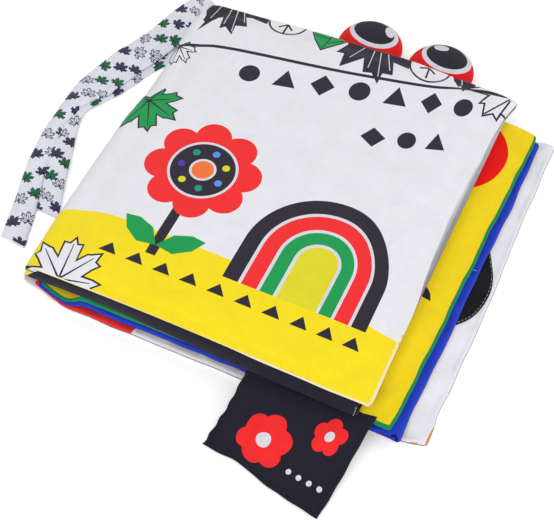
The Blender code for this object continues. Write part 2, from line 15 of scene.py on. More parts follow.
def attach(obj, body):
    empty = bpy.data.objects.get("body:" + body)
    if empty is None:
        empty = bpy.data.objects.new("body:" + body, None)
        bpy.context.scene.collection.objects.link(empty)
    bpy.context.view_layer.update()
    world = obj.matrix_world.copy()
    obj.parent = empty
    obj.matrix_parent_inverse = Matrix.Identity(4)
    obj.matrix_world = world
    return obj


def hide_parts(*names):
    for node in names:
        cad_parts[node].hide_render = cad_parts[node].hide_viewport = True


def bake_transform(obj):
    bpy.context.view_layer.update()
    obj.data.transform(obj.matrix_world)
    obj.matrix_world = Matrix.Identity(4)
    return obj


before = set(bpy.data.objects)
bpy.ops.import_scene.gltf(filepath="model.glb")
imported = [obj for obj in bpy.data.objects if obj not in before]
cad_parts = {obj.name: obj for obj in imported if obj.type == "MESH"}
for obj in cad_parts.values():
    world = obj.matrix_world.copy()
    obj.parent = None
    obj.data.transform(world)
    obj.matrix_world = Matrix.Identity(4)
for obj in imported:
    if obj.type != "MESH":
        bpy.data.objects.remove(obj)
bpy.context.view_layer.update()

MM = 0.001
FOLD_X = -95.5

# Pages, as in the part
HALF_HEIGHT = 85.0
LEAF_HALF_HEIGHT = 84.0
COVER_REACH = 156.0
COVER_LOW = 14.1
COVER_THICKNESS = 9.6
COVER_TILT = 1.5

# Colours as they look in even light
COLOURS = {
    "white": (238, 238, 244),
    "cream": (247, 236, 200),
    "yellow": (254, 229, 24),
    "leaf_yellow": (248, 218, 24),
    "charcoal": (43, 38, 51),
    "black": (33, 30, 44),
    "red": (250, 44, 46),
    "eye_red": (236, 16, 20),
    "disc_red": (238, 8, 6),
    "green": (20, 160, 82),
    "blue": (34, 62, 205),
    "light_blue": (90, 150, 250),
    "purple": (92, 52, 172),
    "orange": (255, 122, 58),
    "teal": (22, 156, 122),
    "print_yellow": (232, 222, 40),
    "pale": (226, 224, 234),
    "patch": (13, 14, 19),
    "leaf_green": (12, 142, 86),
    "seam_thread": (205, 205, 210),
    "grey_thread": (150, 150, 154),
    "dark_thread": (24, 22, 32),
    # navy is painted shade: the curl at the blue leaf's rolled lower corner
    "navy": (14, 22, 88),
    "tie_ink": (36, 33, 54),
    "tie_navy": (64, 61, 94),
    "tie_green": (12, 116, 66),
    "tie_white": (230, 231, 242),
    "mark_orange": (240, 140, 40),
}


def linear(name):
    """A named colour for a shader or a colour attribute."""
    values = []
    for part in COLOURS[name]:
        share = part / 255
        values.append(share / 12.92 if share <= 0.04045 else ((share + 0.055) / 1.055) ** 2.4)
    return (*values, 1.0)


def ease(share):
    """0 to 1 with level ends."""
    share = np.clip(share, 0.0, 1.0)
    return share * share * (3 - 2 * share)


def waves(along, seed, shortest, longest, count=5):
    """A smooth uneven line between about -1 and 1, from a few fixed waves."""
    picks = np.random.default_rng(seed)
    total = np.zeros_like(along, dtype=float)
    for _ in range(count):
        length = picks.uniform(shortest, longest)
        total += np.sin(2 * math.pi * along / length + picks.uniform(0, 2 * math.pi))
    return total / count ** 0.5 / 1.2


def ripples(x, y, seed, shortest, longest, count=9):
    """A smooth uneven surface between about -1 and 1."""
    picks = np.random.default_rng(seed)
    total = np.zeros_like(x, dtype=float)
    for _ in range(count):
        length = picks.uniform(shortest, longest)
        turn = picks.uniform(0, math.pi)
        phase = picks.uniform(0, 2 * math.pi)
        total += np.sin(2 * math.pi * (x * math.cos(turn) + y * math.sin(turn)) / length + phase)
    return total / count ** 0.5 / 1.2


# Materials


def new_material(name):
    """A material with its node tree and its shader."""
    made = bpy.data.materials.new(name)
    made.use_nodes = True
    tree = made.node_tree
    return made, tree, tree.nodes["Principled BSDF"]


def weave(tree, coordinates, pitch, depth, blur=0.25):
    """Height of a plain weave: two crossing sets of threads with a little unevenness."""
    scale = 2 * math.pi / (20 * pitch)
    uneven = tree.nodes.new("ShaderNodeTexNoise")
    uneven.inputs["Scale"].default_value = 0.16 / pitch
    uneven.inputs["Detail"].default_value = 3
    tree.links.new(coordinates, uneven.inputs["Vector"])
    threads = []
    for axis in ("X", "Y"):
        wave = tree.nodes.new("ShaderNodeTexWave")
        wave.wave_type = "BANDS"
        wave.bands_direction = axis
        wave.inputs["Scale"].default_value = scale
        wave.inputs["Distortion"].default_value = blur
        wave.inputs["Detail"].default_value = 1
        tree.links.new(coordinates, wave.inputs["Vector"])
        threads.append(wave.outputs["Fac"])
    crossed = tree.nodes.new("ShaderNodeMath")
    crossed.operation = "MAXIMUM"
    tree.links.new(threads[0], crossed.inputs[0])
    tree.links.new(threads[1], crossed.inputs[1])
    mixed = tree.nodes.new("ShaderNodeMath")
    mixed.operation = "MULTIPLY_ADD"
    mixed.inputs[1].default_value = 0.6
    tree.links.new(crossed.outputs[0], mixed.inputs[0])
    tree.links.new(uneven.outputs["Fac"], mixed.inputs[2])
    bump = tree.nodes.new("ShaderNodeBump")
    bump.inputs["Strength"].default_value = depth
    bump.inputs["Distance"].default_value = pitch * 0.1
    tree.links.new(mixed.outputs[0], bump.inputs["Height"])
    return bump.outputs["Normal"], mixed.outputs[0]


def cloth_material(name, pitch=0.0050, depth=0.35, roughness=0.86, sheen=0.25, mottle_and_weave_shade=0.045, colour=None,
                   own_cut=True):
    """Printed or dyed woven cloth. Its colour is the piece's own print, or one dyed colour, with random
    mottling and painted shade that darkens it where the weave's threads dip.
    """
    made, tree, shader = new_material(name)
    if own_cut:
        coordinates = tree.nodes.new("ShaderNodeUVMap")
        coordinates.uv_map = "cloth"
        where = coordinates.outputs["UV"]
    else:
        coordinates = tree.nodes.new("ShaderNodeTexCoord")
        grown = tree.nodes.new("ShaderNodeVectorMath")
        grown.operation = "SCALE"
        grown.inputs["Scale"].default_value = 10
        tree.links.new(coordinates.outputs["Object"], grown.inputs[0])
        where = grown.outputs[0]
    normal, threads = weave(tree, where, pitch, depth)
    blotches = tree.nodes.new("ShaderNodeTexNoise")
    blotches.inputs["Scale"].default_value = 9
    blotches.inputs["Detail"].default_value = 5
    tree.links.new(where, blotches.inputs["Vector"])
    shade = tree.nodes.new("ShaderNodeMapRange")
    shade.inputs["From Min"].default_value = 0.25
    shade.inputs["From Max"].default_value = 0.8
    shade.inputs["To Min"].default_value = 1 - mottle_and_weave_shade
    shade.inputs["To Max"].default_value = 1 + mottle_and_weave_shade * 0.5
    tree.links.new(blotches.outputs["Fac"], shade.inputs["Value"])
    # Painted shade: the colour is lighter on the raised threads and darker where they dip, in the hollows
    # between them.
    weave_hollow_shade = tree.nodes.new("ShaderNodeMapRange")
    weave_hollow_shade.inputs["From Min"].default_value = 0.3
    weave_hollow_shade.inputs["From Max"].default_value = 1.2
    weave_hollow_shade.inputs["To Min"].default_value = 1 - mottle_and_weave_shade * 1.4
    weave_hollow_shade.inputs["To Max"].default_value = 1 + mottle_and_weave_shade * 0.4
    tree.links.new(threads, weave_hollow_shade.inputs["Value"])
    both = tree.nodes.new("ShaderNodeMath")
    both.operation = "MULTIPLY"
    tree.links.new(shade.outputs["Result"], both.inputs[0])
    tree.links.new(weave_hollow_shade.outputs["Result"], both.inputs[1])
    tint = tree.nodes.new("ShaderNodeVectorMath")
    tint.operation = "SCALE"
    if colour is None:
        ink = tree.nodes.new("ShaderNodeAttribute")
        ink.attribute_name = "print"
        tree.links.new(ink.outputs["Color"], tint.inputs[0])
    else:
        tint.inputs[0].default_value = linear(colour)[:3]
    tree.links.new(both.outputs[0], tint.inputs["Scale"])
    tree.links.new(tint.outputs[0], shader.inputs["Base Color"])
    tree.links.new(normal, shader.inputs["Normal"])
    shader.inputs["Roughness"].default_value = roughness
    shader.inputs["Specular IOR Level"].default_value = 0.18
    shader.inputs["Sheen Weight"].default_value = sheen
    shader.inputs["Sheen Roughness"].default_value = 0.5
    return made


def grained_material(name, colour):
    """Grained soft leather-like cloth of the touch patch."""
    made, tree, shader = new_material(name)
    coordinates = tree.nodes.new("ShaderNodeUVMap")
    coordinates.uv_map = "cloth"
    cells = tree.nodes.new("ShaderNodeTexVoronoi")
    cells.feature = "DISTANCE_TO_EDGE"
    cells.inputs["Scale"].default_value = 95
    tree.links.new(coordinates.outputs["UV"], cells.inputs["Vector"])
    cracks = tree.nodes.new("ShaderNodeMapRange")
    cracks.inputs["From Max"].default_value = 0.12
    tree.links.new(cells.outputs["Distance"], cracks.inputs["Value"])
    bump = tree.nodes.new("ShaderNodeBump")
    bump.inputs["Strength"].default_value = 0.5
    bump.inputs["Distance"].default_value = 0.0004
    tree.links.new(cracks.outputs["Result"], bump.inputs["Height"])
    tree.links.new(bump.outputs["Normal"], shader.inputs["Normal"])
    blotches = tree.nodes.new("ShaderNodeTexNoise")
    blotches.inputs["Scale"].default_value = 14
    tree.links.new(coordinates.outputs["UV"], blotches.inputs["Vector"])
    ramp = tree.nodes.new("ShaderNodeMapRange")
    ramp.inputs["To Min"].default_value = 0.42
    ramp.inputs["To Max"].default_value = 0.62
    tree.links.new(blotches.outputs["Fac"], ramp.inputs["Value"])
    tree.links.new(ramp.outputs["Result"], shader.inputs["Roughness"])
    shader.inputs["Base Color"].default_value = linear(colour)
    shader.inputs["Specular IOR Level"].default_value = 0.16
    return made


PRINTED = cloth_material("printed_cloth")
LINING = cloth_material("black_lining_cloth", pitch=0.0055, depth=0.45, sheen=0.06, mottle_and_weave_shade=0.10)
LEAF_CLOTH = cloth_material("leaf_cloth", pitch=0.0050, depth=0.4, sheen=0.1)
PLUSH = cloth_material("eye_cloth", pitch=0.0042, depth=0.5, sheen=0.12, mottle_and_weave_shade=0.08)
TIE_CLOTH = cloth_material("tie_cloth", pitch=0.0045, depth=0.3)
PATCH = grained_material("touch_patch_leather", "patch")


def thread_material(name, colour):
    """Twisted sewing thread."""
    made, tree, shader = new_material(name)
    where = tree.nodes.new("ShaderNodeTexCoord")
    twist = tree.nodes.new("ShaderNodeTexWave")
    twist.inputs["Scale"].default_value = 900
    twist.inputs["Distortion"].default_value = 1.5
    tree.links.new(where.outputs["Object"], twist.inputs["Vector"])
    bump = tree.nodes.new("ShaderNodeBump")
    bump.inputs["Strength"].default_value = 0.4
    bump.inputs["Distance"].default_value = 0.0001
    tree.links.new(twist.outputs["Fac"], bump.inputs["Height"])
    tree.links.new(bump.outputs["Normal"], shader.inputs["Normal"])
    shader.inputs["Base Color"].default_value = linear(colour)
    shader.inputs["Roughness"].default_value = 0.85
    shader.inputs["Specular IOR Level"].default_value = 0.2
    shader.inputs["Sheen Weight"].default_value = 0.06
    return made


PALE_THREAD = thread_material("pale_thread", "seam_thread")
GREY_THREAD = thread_material("grey_thread", "grey_thread")
DARK_THREAD = thread_material("dark_thread", "dark_thread")


# Flat shapes of the prints, as (colour, points)


def circle(x, y, radius, count=40, tall=None, turn=0.0):
    """A disc or an oval."""
    tall = radius if tall is None else tall
    points = []
    for step in range(count):
        angle = 2 * math.pi * step / count
        a, b = radius * math.cos(angle), tall * math.sin(angle)
        c, s = math.cos(turn), math.sin(turn)
        points.append((x + a * c - b * s, y + a * s + b * c))
    return points


def polygon(x, y, radius, sides, turn=0.0):
    """A regular shape."""
    points = []
    for step in range(sides):
        angle = turn + 2 * math.pi * step / sides
        points.append((x + radius * math.cos(angle), y + radius * math.sin(angle)))
    return points


def bar(start, end, width, end_width=None):
    """A straight stroke that may taper."""
    end_width = width if end_width is None else end_width
    (x0, y0), (x1, y1) = start, end
    length = math.hypot(x1 - x0, y1 - y0)
    nx, ny = -(y1 - y0) / length, (x1 - x0) / length
    a, b = width / 2, end_width / 2
    return [
        (x0 + nx * a, y0 + ny * a),
        (x0 - nx * a, y0 - ny * a),
        (x1 - nx * b, y1 - ny * b),
        (x1 + nx * b, y1 + ny * b),
    ]


def stroke(points, width, end_width=None):
    """A long gently curved line of one width, or tapering to another."""
    end_width = width if end_width is None else end_width
    line = np.array(points, float)
    along = np.gradient(line, axis=0)
    along /= np.hypot(along[:, 0], along[:, 1])[:, None]
    across = np.stack((-along[:, 1], along[:, 0]), 1)
    half = np.linspace(width, end_width, len(line))[:, None] / 2
    return [tuple(p) for p in line + across * half] + [tuple(p) for p in (line - across * half)[::-1]]


def curve(points, count=40):
    """A smooth line through a few points."""
    line = np.array(points, float)
    ends = np.vstack((2 * line[0] - line[1], line, 2 * line[-1] - line[-2]))
    spans = len(line) - 1
    made = []
    for value in np.linspace(0, spans, count):
        i = min(int(value), spans - 1)
        t = value - i
        a, b, c, d = ends[i], ends[i + 1], ends[i + 2], ends[i + 3]
        square_part = (2 * a - 5 * b + 4 * c - d) * t * t
        cube_part = (3 * b - a - 3 * c + d) * t ** 3
        made.append(0.5 * (2 * b + (c - a) * t + square_part + cube_part))
    return [tuple(p) for p in made]


# Half of a lobed leaf: (degrees from its tip, share of its length) of each point and notch
LEAF_SHARES = (
    (0, 1.00), (6, 0.84), (14, 0.87), (17, 0.72), (22, 0.55), (28, 0.74), (32, 0.78), (40, 0.98),
    (48, 0.78), (57, 0.82), (60, 0.64), (67, 0.48), (75, 0.64), (83, 0.82), (92, 0.66), (101, 0.68),
    (106, 0.50), (117, 0.34), (126, 0.44), (136, 0.46), (150, 0.20), (168, 0.10),
)
VEIN_SHARES = ((0, 0.86), (40, 0.80), (83, 0.62), (132, 0.34))


def shrunk(points, by):
    """A shape moved inwards across each edge, so that its outline has one width."""
    line_points = np.array(anticlockwise(list(points)))
    before = np.roll(line_points, 1, axis=0)
    after = np.roll(line_points, -1, axis=0)
    one = line_points - before
    two = after - line_points
    one /= np.hypot(one[:, 0], one[:, 1])[:, None]
    two /= np.hypot(two[:, 0], two[:, 1])[:, None]
    normal = np.stack((-(one[:, 1] + two[:, 1]), one[:, 0] + two[:, 0]), 1)
    cosine = np.clip((one * two).sum(1), -0.9, 1)
    stretch = 1 / np.sqrt((1 + cosine) / 2)
    normal /= np.maximum(np.hypot(normal[:, 0], normal[:, 1]), 1e-6)[:, None]
    return [tuple(p) for p in line_points + normal * (by * np.minimum(stretch, 2.2))[:, None]]


def leaf(x, y, size, degrees, fill, line, line_width, vein):
    """A lobed leaf with its stem end at x, y: the outline's colour first, and the fill drawn inside it."""
    outer = []
    for side in (1, -1):
        shares = LEAF_SHARES if side == 1 else LEAF_SHARES[:0:-1]
        for angle, share in shares:
            turn = math.radians(degrees + side * angle)
            outer.append((x + size * share * math.cos(turn), y + size * share * math.sin(turn)))
    shapes = [(line, outer), (fill, shrunk(outer, line_width))]
    way = math.radians(degrees)
    root = (x + 0.02 * size * math.cos(way), y + 0.02 * size * math.sin(way))
    for angle, share in VEIN_SHARES:
        for side in (1, -1) if angle else (1,):
            turn = math.radians(degrees + side * angle)
            reach = size * share * 0.95
            tip = (x + reach * math.cos(turn), y + reach * math.sin(turn))
            shapes.append((vein, bar(root, tip, line_width * 1.1, line_width * 0.45)))
    return shapes


# Cutting cloth and laying it over shapes


def anticlockwise(points):
    """The same shape with its points in the turning direction the cutter expects."""
    area = 0.0
    for (x0, y0), (x1, y1) in zip(points, points[1:] + points[:1]):
        area += x0 * y1 - x1 * y0
    return points if area > 0 else points[::-1]


def cut_cloth(edge, prints, inside, ground="white"):
    """Cut one flat cloth along its edge and along its print, with more points inside.

    Gives the corner points, the triangles and each triangle's colour name.
    """
    coordinates = []
    faces = []
    inks = [ground]
    for colour, shape in [(ground, edge)] + list(prints):
        shape = anticlockwise([tuple(p) for p in shape])
        start = len(coordinates)
        coordinates += [Vector(p) for p in shape]
        faces.append(list(range(start, len(coordinates))))
        inks.append(colour)
    inks = inks[1:]
    coordinates += [Vector((float(p[0]), float(p[1]))) for p in inside]
    found, _, triangles, _, _, origins = geometry.delaunay_2d_cdt(coordinates, [], faces, 1, 1e-4, True)
    kept = [(t, inks[max(o)]) for t, o in zip(triangles, origins) if 0 in o]
    used = sorted({i for t, _ in kept for i in t})
    place = {old: new for new, old in enumerate(used)}
    points = np.array([tuple(found[i]) for i in used])
    faces = np.array([[place[i] for i in t] for t, _ in kept])
    a, b, c = (points[faces[:, i]] for i in range(3))
    turning = (b[:, 0] - a[:, 0]) * (c[:, 1] - a[:, 1]) - (b[:, 1] - a[:, 1]) * (c[:, 0] - a[:, 0])
    wrong = turning < 0
    faces[wrong] = faces[wrong][:, ::-1]
    return points, faces, [ink for _, ink in kept]


def facing(place, flat, step=0.04):
    """The way a laid cloth faces at flat points."""
    across = place(flat + np.array((step, 0.0))) - place(flat - np.array((step, 0.0)))
    up = place(flat + np.array((0.0, step))) - place(flat - np.array((0.0, step)))
    normals = np.cross(across, up)
    return normals / np.maximum(np.linalg.norm(normals, axis=1), 1e-9)[:, None]


def open_edges(faces):
    """Edges of triangles that no other triangle shares, in the order they are met."""
    edges = {}
    for a, b, c in faces:
        for edge in ((a, b), (b, c), (c, a)):
            edges[edge] = True
    return [(a, b) for a, b in edges if (b, a) not in edges]


def lay(name, cloth, place, material, underside=False):
    """Lay a cut cloth over a shape. place turns flat points into points in space."""
    points, faces, inks = cloth
    centre = place(points)
    normals = facing(place, points)
    if underside:
        faces = faces[:, ::-1]
        normals = -normals
    return finish_mesh(name, centre, faces, points, inks, material, normals)


def finish_mesh(name, places, faces, flat, inks, material, normals=None):
    """A mesh object in the part's frame with its print and its flat cloth coordinates."""
    solid = np.array(places, float)
    solid[:, 0] += FOLD_X
    solid *= MM
    mesh = bpy.data.meshes.new(name)
    mesh.from_pydata(solid.tolist(), [], np.asarray(faces).tolist())
    corners = np.asarray(faces).ravel()
    ink = mesh.attributes.new("print", "FLOAT_COLOR", "CORNER")
    colours = np.repeat(np.array([linear(i) for i in inks]), 3, axis=0)
    ink.data.foreach_set("color", colours.ravel())
    layer = mesh.uv_layers.new(name="cloth")
    layer.data.foreach_set("uv", (np.asarray(flat)[corners] / 100.0).ravel())
    mesh.materials.append(material)
    mesh.shade_smooth()
    if normals is not None:
        mesh.normals_split_custom_set_from_vertices(normals.tolist())
    made = bpy.data.objects.new(name, mesh)
    bpy.context.scene.collection.objects.link(made)
    return made


# Cloth solving: a filling presses from inside while the seams are held

SOLVER_UNIT = 0.01


def pressed(places, faces, held, pressure, slack, cap):
    """Where the points of a closed padded form come to rest. No point moves more than cap millimetres."""
    places = np.array(places, float)
    mesh = bpy.data.meshes.new("solver_form")
    mesh.from_pydata((places * SOLVER_UNIT).tolist(), [], np.asarray(faces).tolist())
    form = bpy.data.objects.new("solver_form", mesh)
    bpy.context.scene.collection.objects.link(form)
    group = form.vertex_groups.new(name="held")
    group.add([int(i) for i in np.flatnonzero(held)], 1.0, "REPLACE")
    cloth = form.modifiers.new("Cloth", "CLOTH")
    settings = cloth.settings
    settings.quality = 6
    settings.mass = 0.3
    settings.air_damping = 3.0
    settings.tension_stiffness = 18
    settings.compression_stiffness = 18
    settings.shear_stiffness = 8
    settings.bending_stiffness = 0.35
    settings.shrink_min = -slack
    settings.use_pressure = True
    settings.uniform_pressure_force = pressure
    settings.vertex_group_mass = "held"
    settings.effector_weights.gravity = 0
    cloth.collision_settings.use_collision = False
    cloth.collision_settings.use_self_collision = False
    cloth.point_cache.frame_start = 1
    cloth.point_cache.frame_end = 20
    for step in range(1, 21):
        bpy.context.scene.frame_set(step)
    solved = form.evaluated_get(bpy.context.evaluated_depsgraph_get()).data
    found = np.empty(len(places) * 3)
    solved.vertices.foreach_get("co", found)
    found = found.reshape(-1, 3) / SOLVER_UNIT
    bpy.context.scene.frame_set(1)
    bpy.data.objects.remove(form)
    bpy.data.meshes.remove(mesh)
    moves = np.nan_to_num(found - places)
    size = np.linalg.norm(moves, axis=1)
    moves *= (cap * np.tanh(size / cap) / np.maximum(size, 1e-9))[:, None]
    return places + moves


class Moves:
    """A cloth's small movements, known at scattered flat points and read smoothly anywhere on it."""

    def __init__(self, flat, moves, reach, keep):
        self.spacing = reach * 0.5
        self.low = flat.min(0) - 2 * self.spacing
        columns, rows = (np.ceil((flat.max(0) - self.low) / self.spacing).astype(int) + 3)
        xs = self.low[0] + self.spacing * np.arange(columns)
        self.values = np.zeros((rows, columns, 3))
        for row in range(rows):
            y = self.low[1] + self.spacing * row
            gap = (xs[:, None] - flat[None, :, 0]) ** 2 + (y - flat[None, :, 1]) ** 2
            weight = np.exp(-gap / (2 * (0.55 * reach) ** 2)) + 1e-7 / (1 + gap)
            self.values[row] = weight @ moves / weight.sum(1)[:, None]
        if keep < 1:
            broad = self.values.copy()
            kernel = np.hanning(2 * int(22 / self.spacing) + 1)
            kernel /= kernel.sum()
            half = len(kernel) // 2
            for axis in (0, 1):
                edges = [(0, 0)] * 3
                edges[axis] = (half, half)
                wide = np.pad(broad, edges, "edge")
                count = broad.shape[axis]
                broad = sum(np.take(wide, range(i, i + count), axis) * k for i, k in enumerate(kernel))
            self.values -= (1 - keep) * broad

    def read(self, flat):
        """The movement at each flat point."""
        rows, columns = self.values.shape[:2]
        where = (flat - self.low) / self.spacing
        cell = np.floor(where).astype(int)
        cell[:, 0] = np.clip(cell[:, 0], 1, columns - 3)
        cell[:, 1] = np.clip(cell[:, 1], 1, rows - 3)
        t = np.clip(where - cell, 0, 1)
        weights = (
            0.5 * (-t + 2 * t ** 2 - t ** 3),
            0.5 * (2 - 5 * t ** 2 + 3 * t ** 3),
            0.5 * (t + 4 * t ** 2 - 3 * t ** 3),
            0.5 * (-(t ** 2) + t ** 3),
        )
        total = np.zeros((len(flat), 3))
        for j in range(4):
            for i in range(4):
                part = (weights[i][:, 0] * weights[j][:, 1])[:, None]
                total += part * self.values[cell[:, 1] + j - 1, cell[:, 0] + i - 1]
        return total


# Stitches set along lines


def stitch_tree():
    """Nodes that set small threads along the lines of a mesh."""
    tree = bpy.data.node_groups.new("stitches_along_lines", "GeometryNodeTree")
    tree.interface.new_socket("Lines", in_out="INPUT", socket_type="NodeSocketGeometry")
    for name in ("Pitch", "Stitch length", "Thread width"):
        tree.interface.new_socket(name, in_out="INPUT", socket_type="NodeSocketFloat")
    tree.interface.new_socket("Seed", in_out="INPUT", socket_type="NodeSocketInt")
    tree.interface.new_socket("Thread", in_out="INPUT", socket_type="NodeSocketMaterial")
    tree.interface.new_socket("Stitches", in_out="OUTPUT", socket_type="NodeSocketGeometry")
    add = tree.nodes.new
    given = add("NodeGroupInput")
    result = add("NodeGroupOutput")
    curve_node = add("GeometryNodeMeshToCurve")
    spaced = add("GeometryNodeResampleCurve")
    spaced.mode = "LENGTH"
    tangent = add("GeometryNodeInputTangent")
    turned = add("FunctionNodeAlignRotationToVector")
    turned.axis = "X"
    stitch = add("GeometryNodeMeshUVSphere")
    stitch.inputs["Segments"].default_value = 8
    stitch.inputs["Rings"].default_value = 4
    stitch.inputs["Radius"].default_value = 0.5
    smooth = add("GeometryNodeSetShadeSmooth")
    varied = add("FunctionNodeRandomValue")
    varied.inputs[2].default_value = 0.9
    varied.inputs[3].default_value = 1.08
    size = add("ShaderNodeCombineXYZ")
    scaled = add("ShaderNodeVectorMath")
    scaled.operation = "SCALE"
    placed = add("GeometryNodeInstanceOnPoints")
    real = add("GeometryNodeRealizeInstances")
    dressed = add("GeometryNodeSetMaterial")
    link = tree.links.new
    link(given.outputs["Lines"], curve_node.inputs["Mesh"])
    link(curve_node.outputs[0], spaced.inputs["Curve"])
    link(given.outputs["Pitch"], spaced.inputs["Length"])
    link(tangent.outputs[0], turned.inputs["Vector"])
    link(given.outputs["Stitch length"], size.inputs["X"])
    link(given.outputs["Thread width"], size.inputs["Y"])
    link(given.outputs["Thread width"], size.inputs["Z"])
    link(given.outputs["Seed"], varied.inputs["Seed"])
    link(size.outputs[0], scaled.inputs[0])
    link(varied.outputs[1], scaled.inputs["Scale"])
    link(stitch.outputs["Mesh"], smooth.inputs["Geometry"])
    link(spaced.outputs[0], placed.inputs["Points"])
    link(smooth.outputs[0], placed.inputs["Instance"])
    link(turned.outputs[0], placed.inputs["Rotation"])
    link(scaled.outputs[0], placed.inputs["Scale"])
    link(placed.outputs[0], real.inputs[0])
    link(real.outputs[0], dressed.inputs["Geometry"])
    link(given.outputs["Thread"], dressed.inputs["Material"])
    link(dressed.outputs[0], result.inputs["Stitches"])
    return tree


STITCHES = stitch_tree()


def sew(name, lines, body, thread, pitch=2.7, length=1.9, width=0.42, seed=1):
    """Rows of stitches along lines given in millimetres, as one plain mesh that moves with a body."""
    points = []
    edges = []
    for line in lines:
        start = len(points)
        points += [((x + FOLD_X) * MM, y * MM, z * MM) for x, y, z in line]
        edges += [(i, i + 1) for i in range(start, len(points) - 1)]
    mesh = bpy.data.meshes.new(f"{name}_lines")
    mesh.from_pydata(points, edges, [])
    source = bpy.data.objects.new(f"{name}_lines", mesh)
    bpy.context.scene.collection.objects.link(source)
    rows = source.modifiers.new("Stitches", "NODES")
    rows.node_group = STITCHES
    values = {
        "Pitch": pitch * MM,
        "Stitch length": length * MM,
        "Thread width": width * MM,
        "Seed": seed,
        "Thread": thread,
    }
    for item in STITCHES.interface.items_tree:
        if item.in_out == "INPUT" and item.name in values:
            rows[item.identifier] = values[item.name]
    graph = bpy.context.evaluated_depsgraph_get()
    made = bpy.data.objects.new(name, bpy.data.meshes.new_from_object(source.evaluated_get(graph)))
    made.data.name = name
    bpy.data.objects.remove(source)
    bpy.data.meshes.remove(mesh)
    bpy.context.scene.collection.objects.link(made)
    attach(made, body)
    return made


def on_surface(place, flat, lift):
    """Points of a line a little above a cloth."""
    flat = np.array(flat, float)
    lift = np.asarray(lift, float).reshape(-1, 1)
    return (place(flat) + facing(place, flat, 0.05) * lift).tolist()


# Shapes that the cloths cover


def curve_table(points):
    """Arc length, outward reach and drop along a rounded line through these corners."""
    line = np.array(points, float)
    for _ in range(5):
        near = line[:-1] * 0.75 + line[1:] * 0.25
        far = line[:-1] * 0.25 + line[1:] * 0.75
        middle = np.empty((2 * len(near), 2))
        middle[0::2] = near
        middle[1::2] = far
        line = np.vstack((line[:1], middle, line[-1:]))
    steps = np.hypot(*np.diff(line, axis=0).T)
    return np.concatenate(([0.0], np.cumsum(steps))), line[:, 0], line[:, 1]


class Rolled:
    """A flat middle whose cloth rolls over each side. Sides are right, high, left, low."""

    def __init__(self, left, right, low, high, sides, bias=1.0):
        """With a bias under 1, the low and high sides keep their shape further round the corners."""
        self.bias = bias
        self.corners = (left, right, low, high)
        self.tables = [curve_table(side) for side in sides]
        self.reach = [table[0][-1] for table in self.tables]

    def shares(self, way):
        """How much each side counts in these directions."""
        sides = way * np.array((self.bias, 1.0))
        sides = sides / np.maximum(np.hypot(sides[:, 0], sides[:, 1]), 1e-9)[:, None]
        return np.maximum(np.hstack((sides, -sides)), 0) ** 2

    def split(self, flat):
        """Where each point leaves the middle, how far it is beyond it, and its way out and down."""
        left, right, low, high = self.corners
        base = np.stack((np.clip(flat[:, 0], left, right), np.clip(flat[:, 1], low, high)), 1)
        off = flat - base
        beyond = np.hypot(off[:, 0], off[:, 1])
        way = off / np.maximum(beyond, 1e-9)[:, None]
        shares = self.shares(way)
        out = np.zeros(len(flat))
        drop = np.zeros(len(flat))
        for side, (length, reach, fall) in enumerate(self.tables):
            out += shares[:, side] * np.interp(beyond, length, reach)
            drop += shares[:, side] * np.interp(beyond, length, fall)
        return base, way, out, drop

    def edge(self, share=1.0, spacing=2.2, turns=7):
        """Points of the cloth's flat edge, or of a row inside it, anticlockwise."""
        left, right, low, high = self.corners
        points = []

        def add(x, y, angle):
            way = (math.cos(angle), math.sin(angle))
            reach = float((self.shares(np.array([way]))[0] * self.reach).sum())
            points.append((x + way[0] * reach * share, y + way[1] * reach * share))

        rounds = (
            ((right, low), (right, high), 0.0),
            ((right, high), (left, high), math.pi / 2),
            ((left, high), (left, low), math.pi),
            ((left, low), (right, low), 1.5 * math.pi),
        )
        for (x0, y0), (x1, y1), angle in rounds:
            count = max(2, round(math.hypot(x1 - x0, y1 - y0) / spacing))
            for i in range(count):
                t = i / count
                add(x0 + (x1 - x0) * t, y0 + (y1 - y0) * t, angle)
            for i in range(turns):
                add(x1, y1, angle + math.pi / 2 * i / turns)
        return points

    def rows(self, count=9, spacing=2.2):
        """Rows of points over the rolled sides, and a grid over the middle."""
        points = []
        for row in range(count):
            points += self.edge((row + 0.01) / count, spacing)
        left, right, low, high = self.corners
        across = max(2, round((right - left) / spacing))
        up = max(2, round((high - low) / spacing))
        for i in range(1, across):
            for j in range(1, up):
                shift = 0.5 * (j % 2)
                x = left + (right - left) * min((i + shift) / across, 1 - 0.3 / across)
                points.append((x, low + (high - low) * j / up))
        return points


def edge_line(pairs):
    """A smooth line through (along, place) pairs, to be read at any distance along."""
    width = 13
    along, place = zip(*pairs)
    dense = np.arange(along[0] - 20.0, along[-1] + 20.5, 0.5)
    values = np.interp(dense, along, place)
    window = np.hanning(2 * width + 1)
    window /= window.sum()
    padded = np.concatenate((np.full(width, values[0]), values, np.full(width, values[-1])))
    smooth = np.convolve(padded, window, "valid")

    def read(where):
        return np.interp(where, dense, smooth)

    return read


def circle_side(radius, degrees, count=14):
    """A rolled side that follows a circle."""
    made = []
    for step in range(count + 1):
        turn = math.radians(degrees) * step / count
        made.append((radius * math.sin(turn), radius * (1 - math.cos(turn))))
    return made


# Front cover

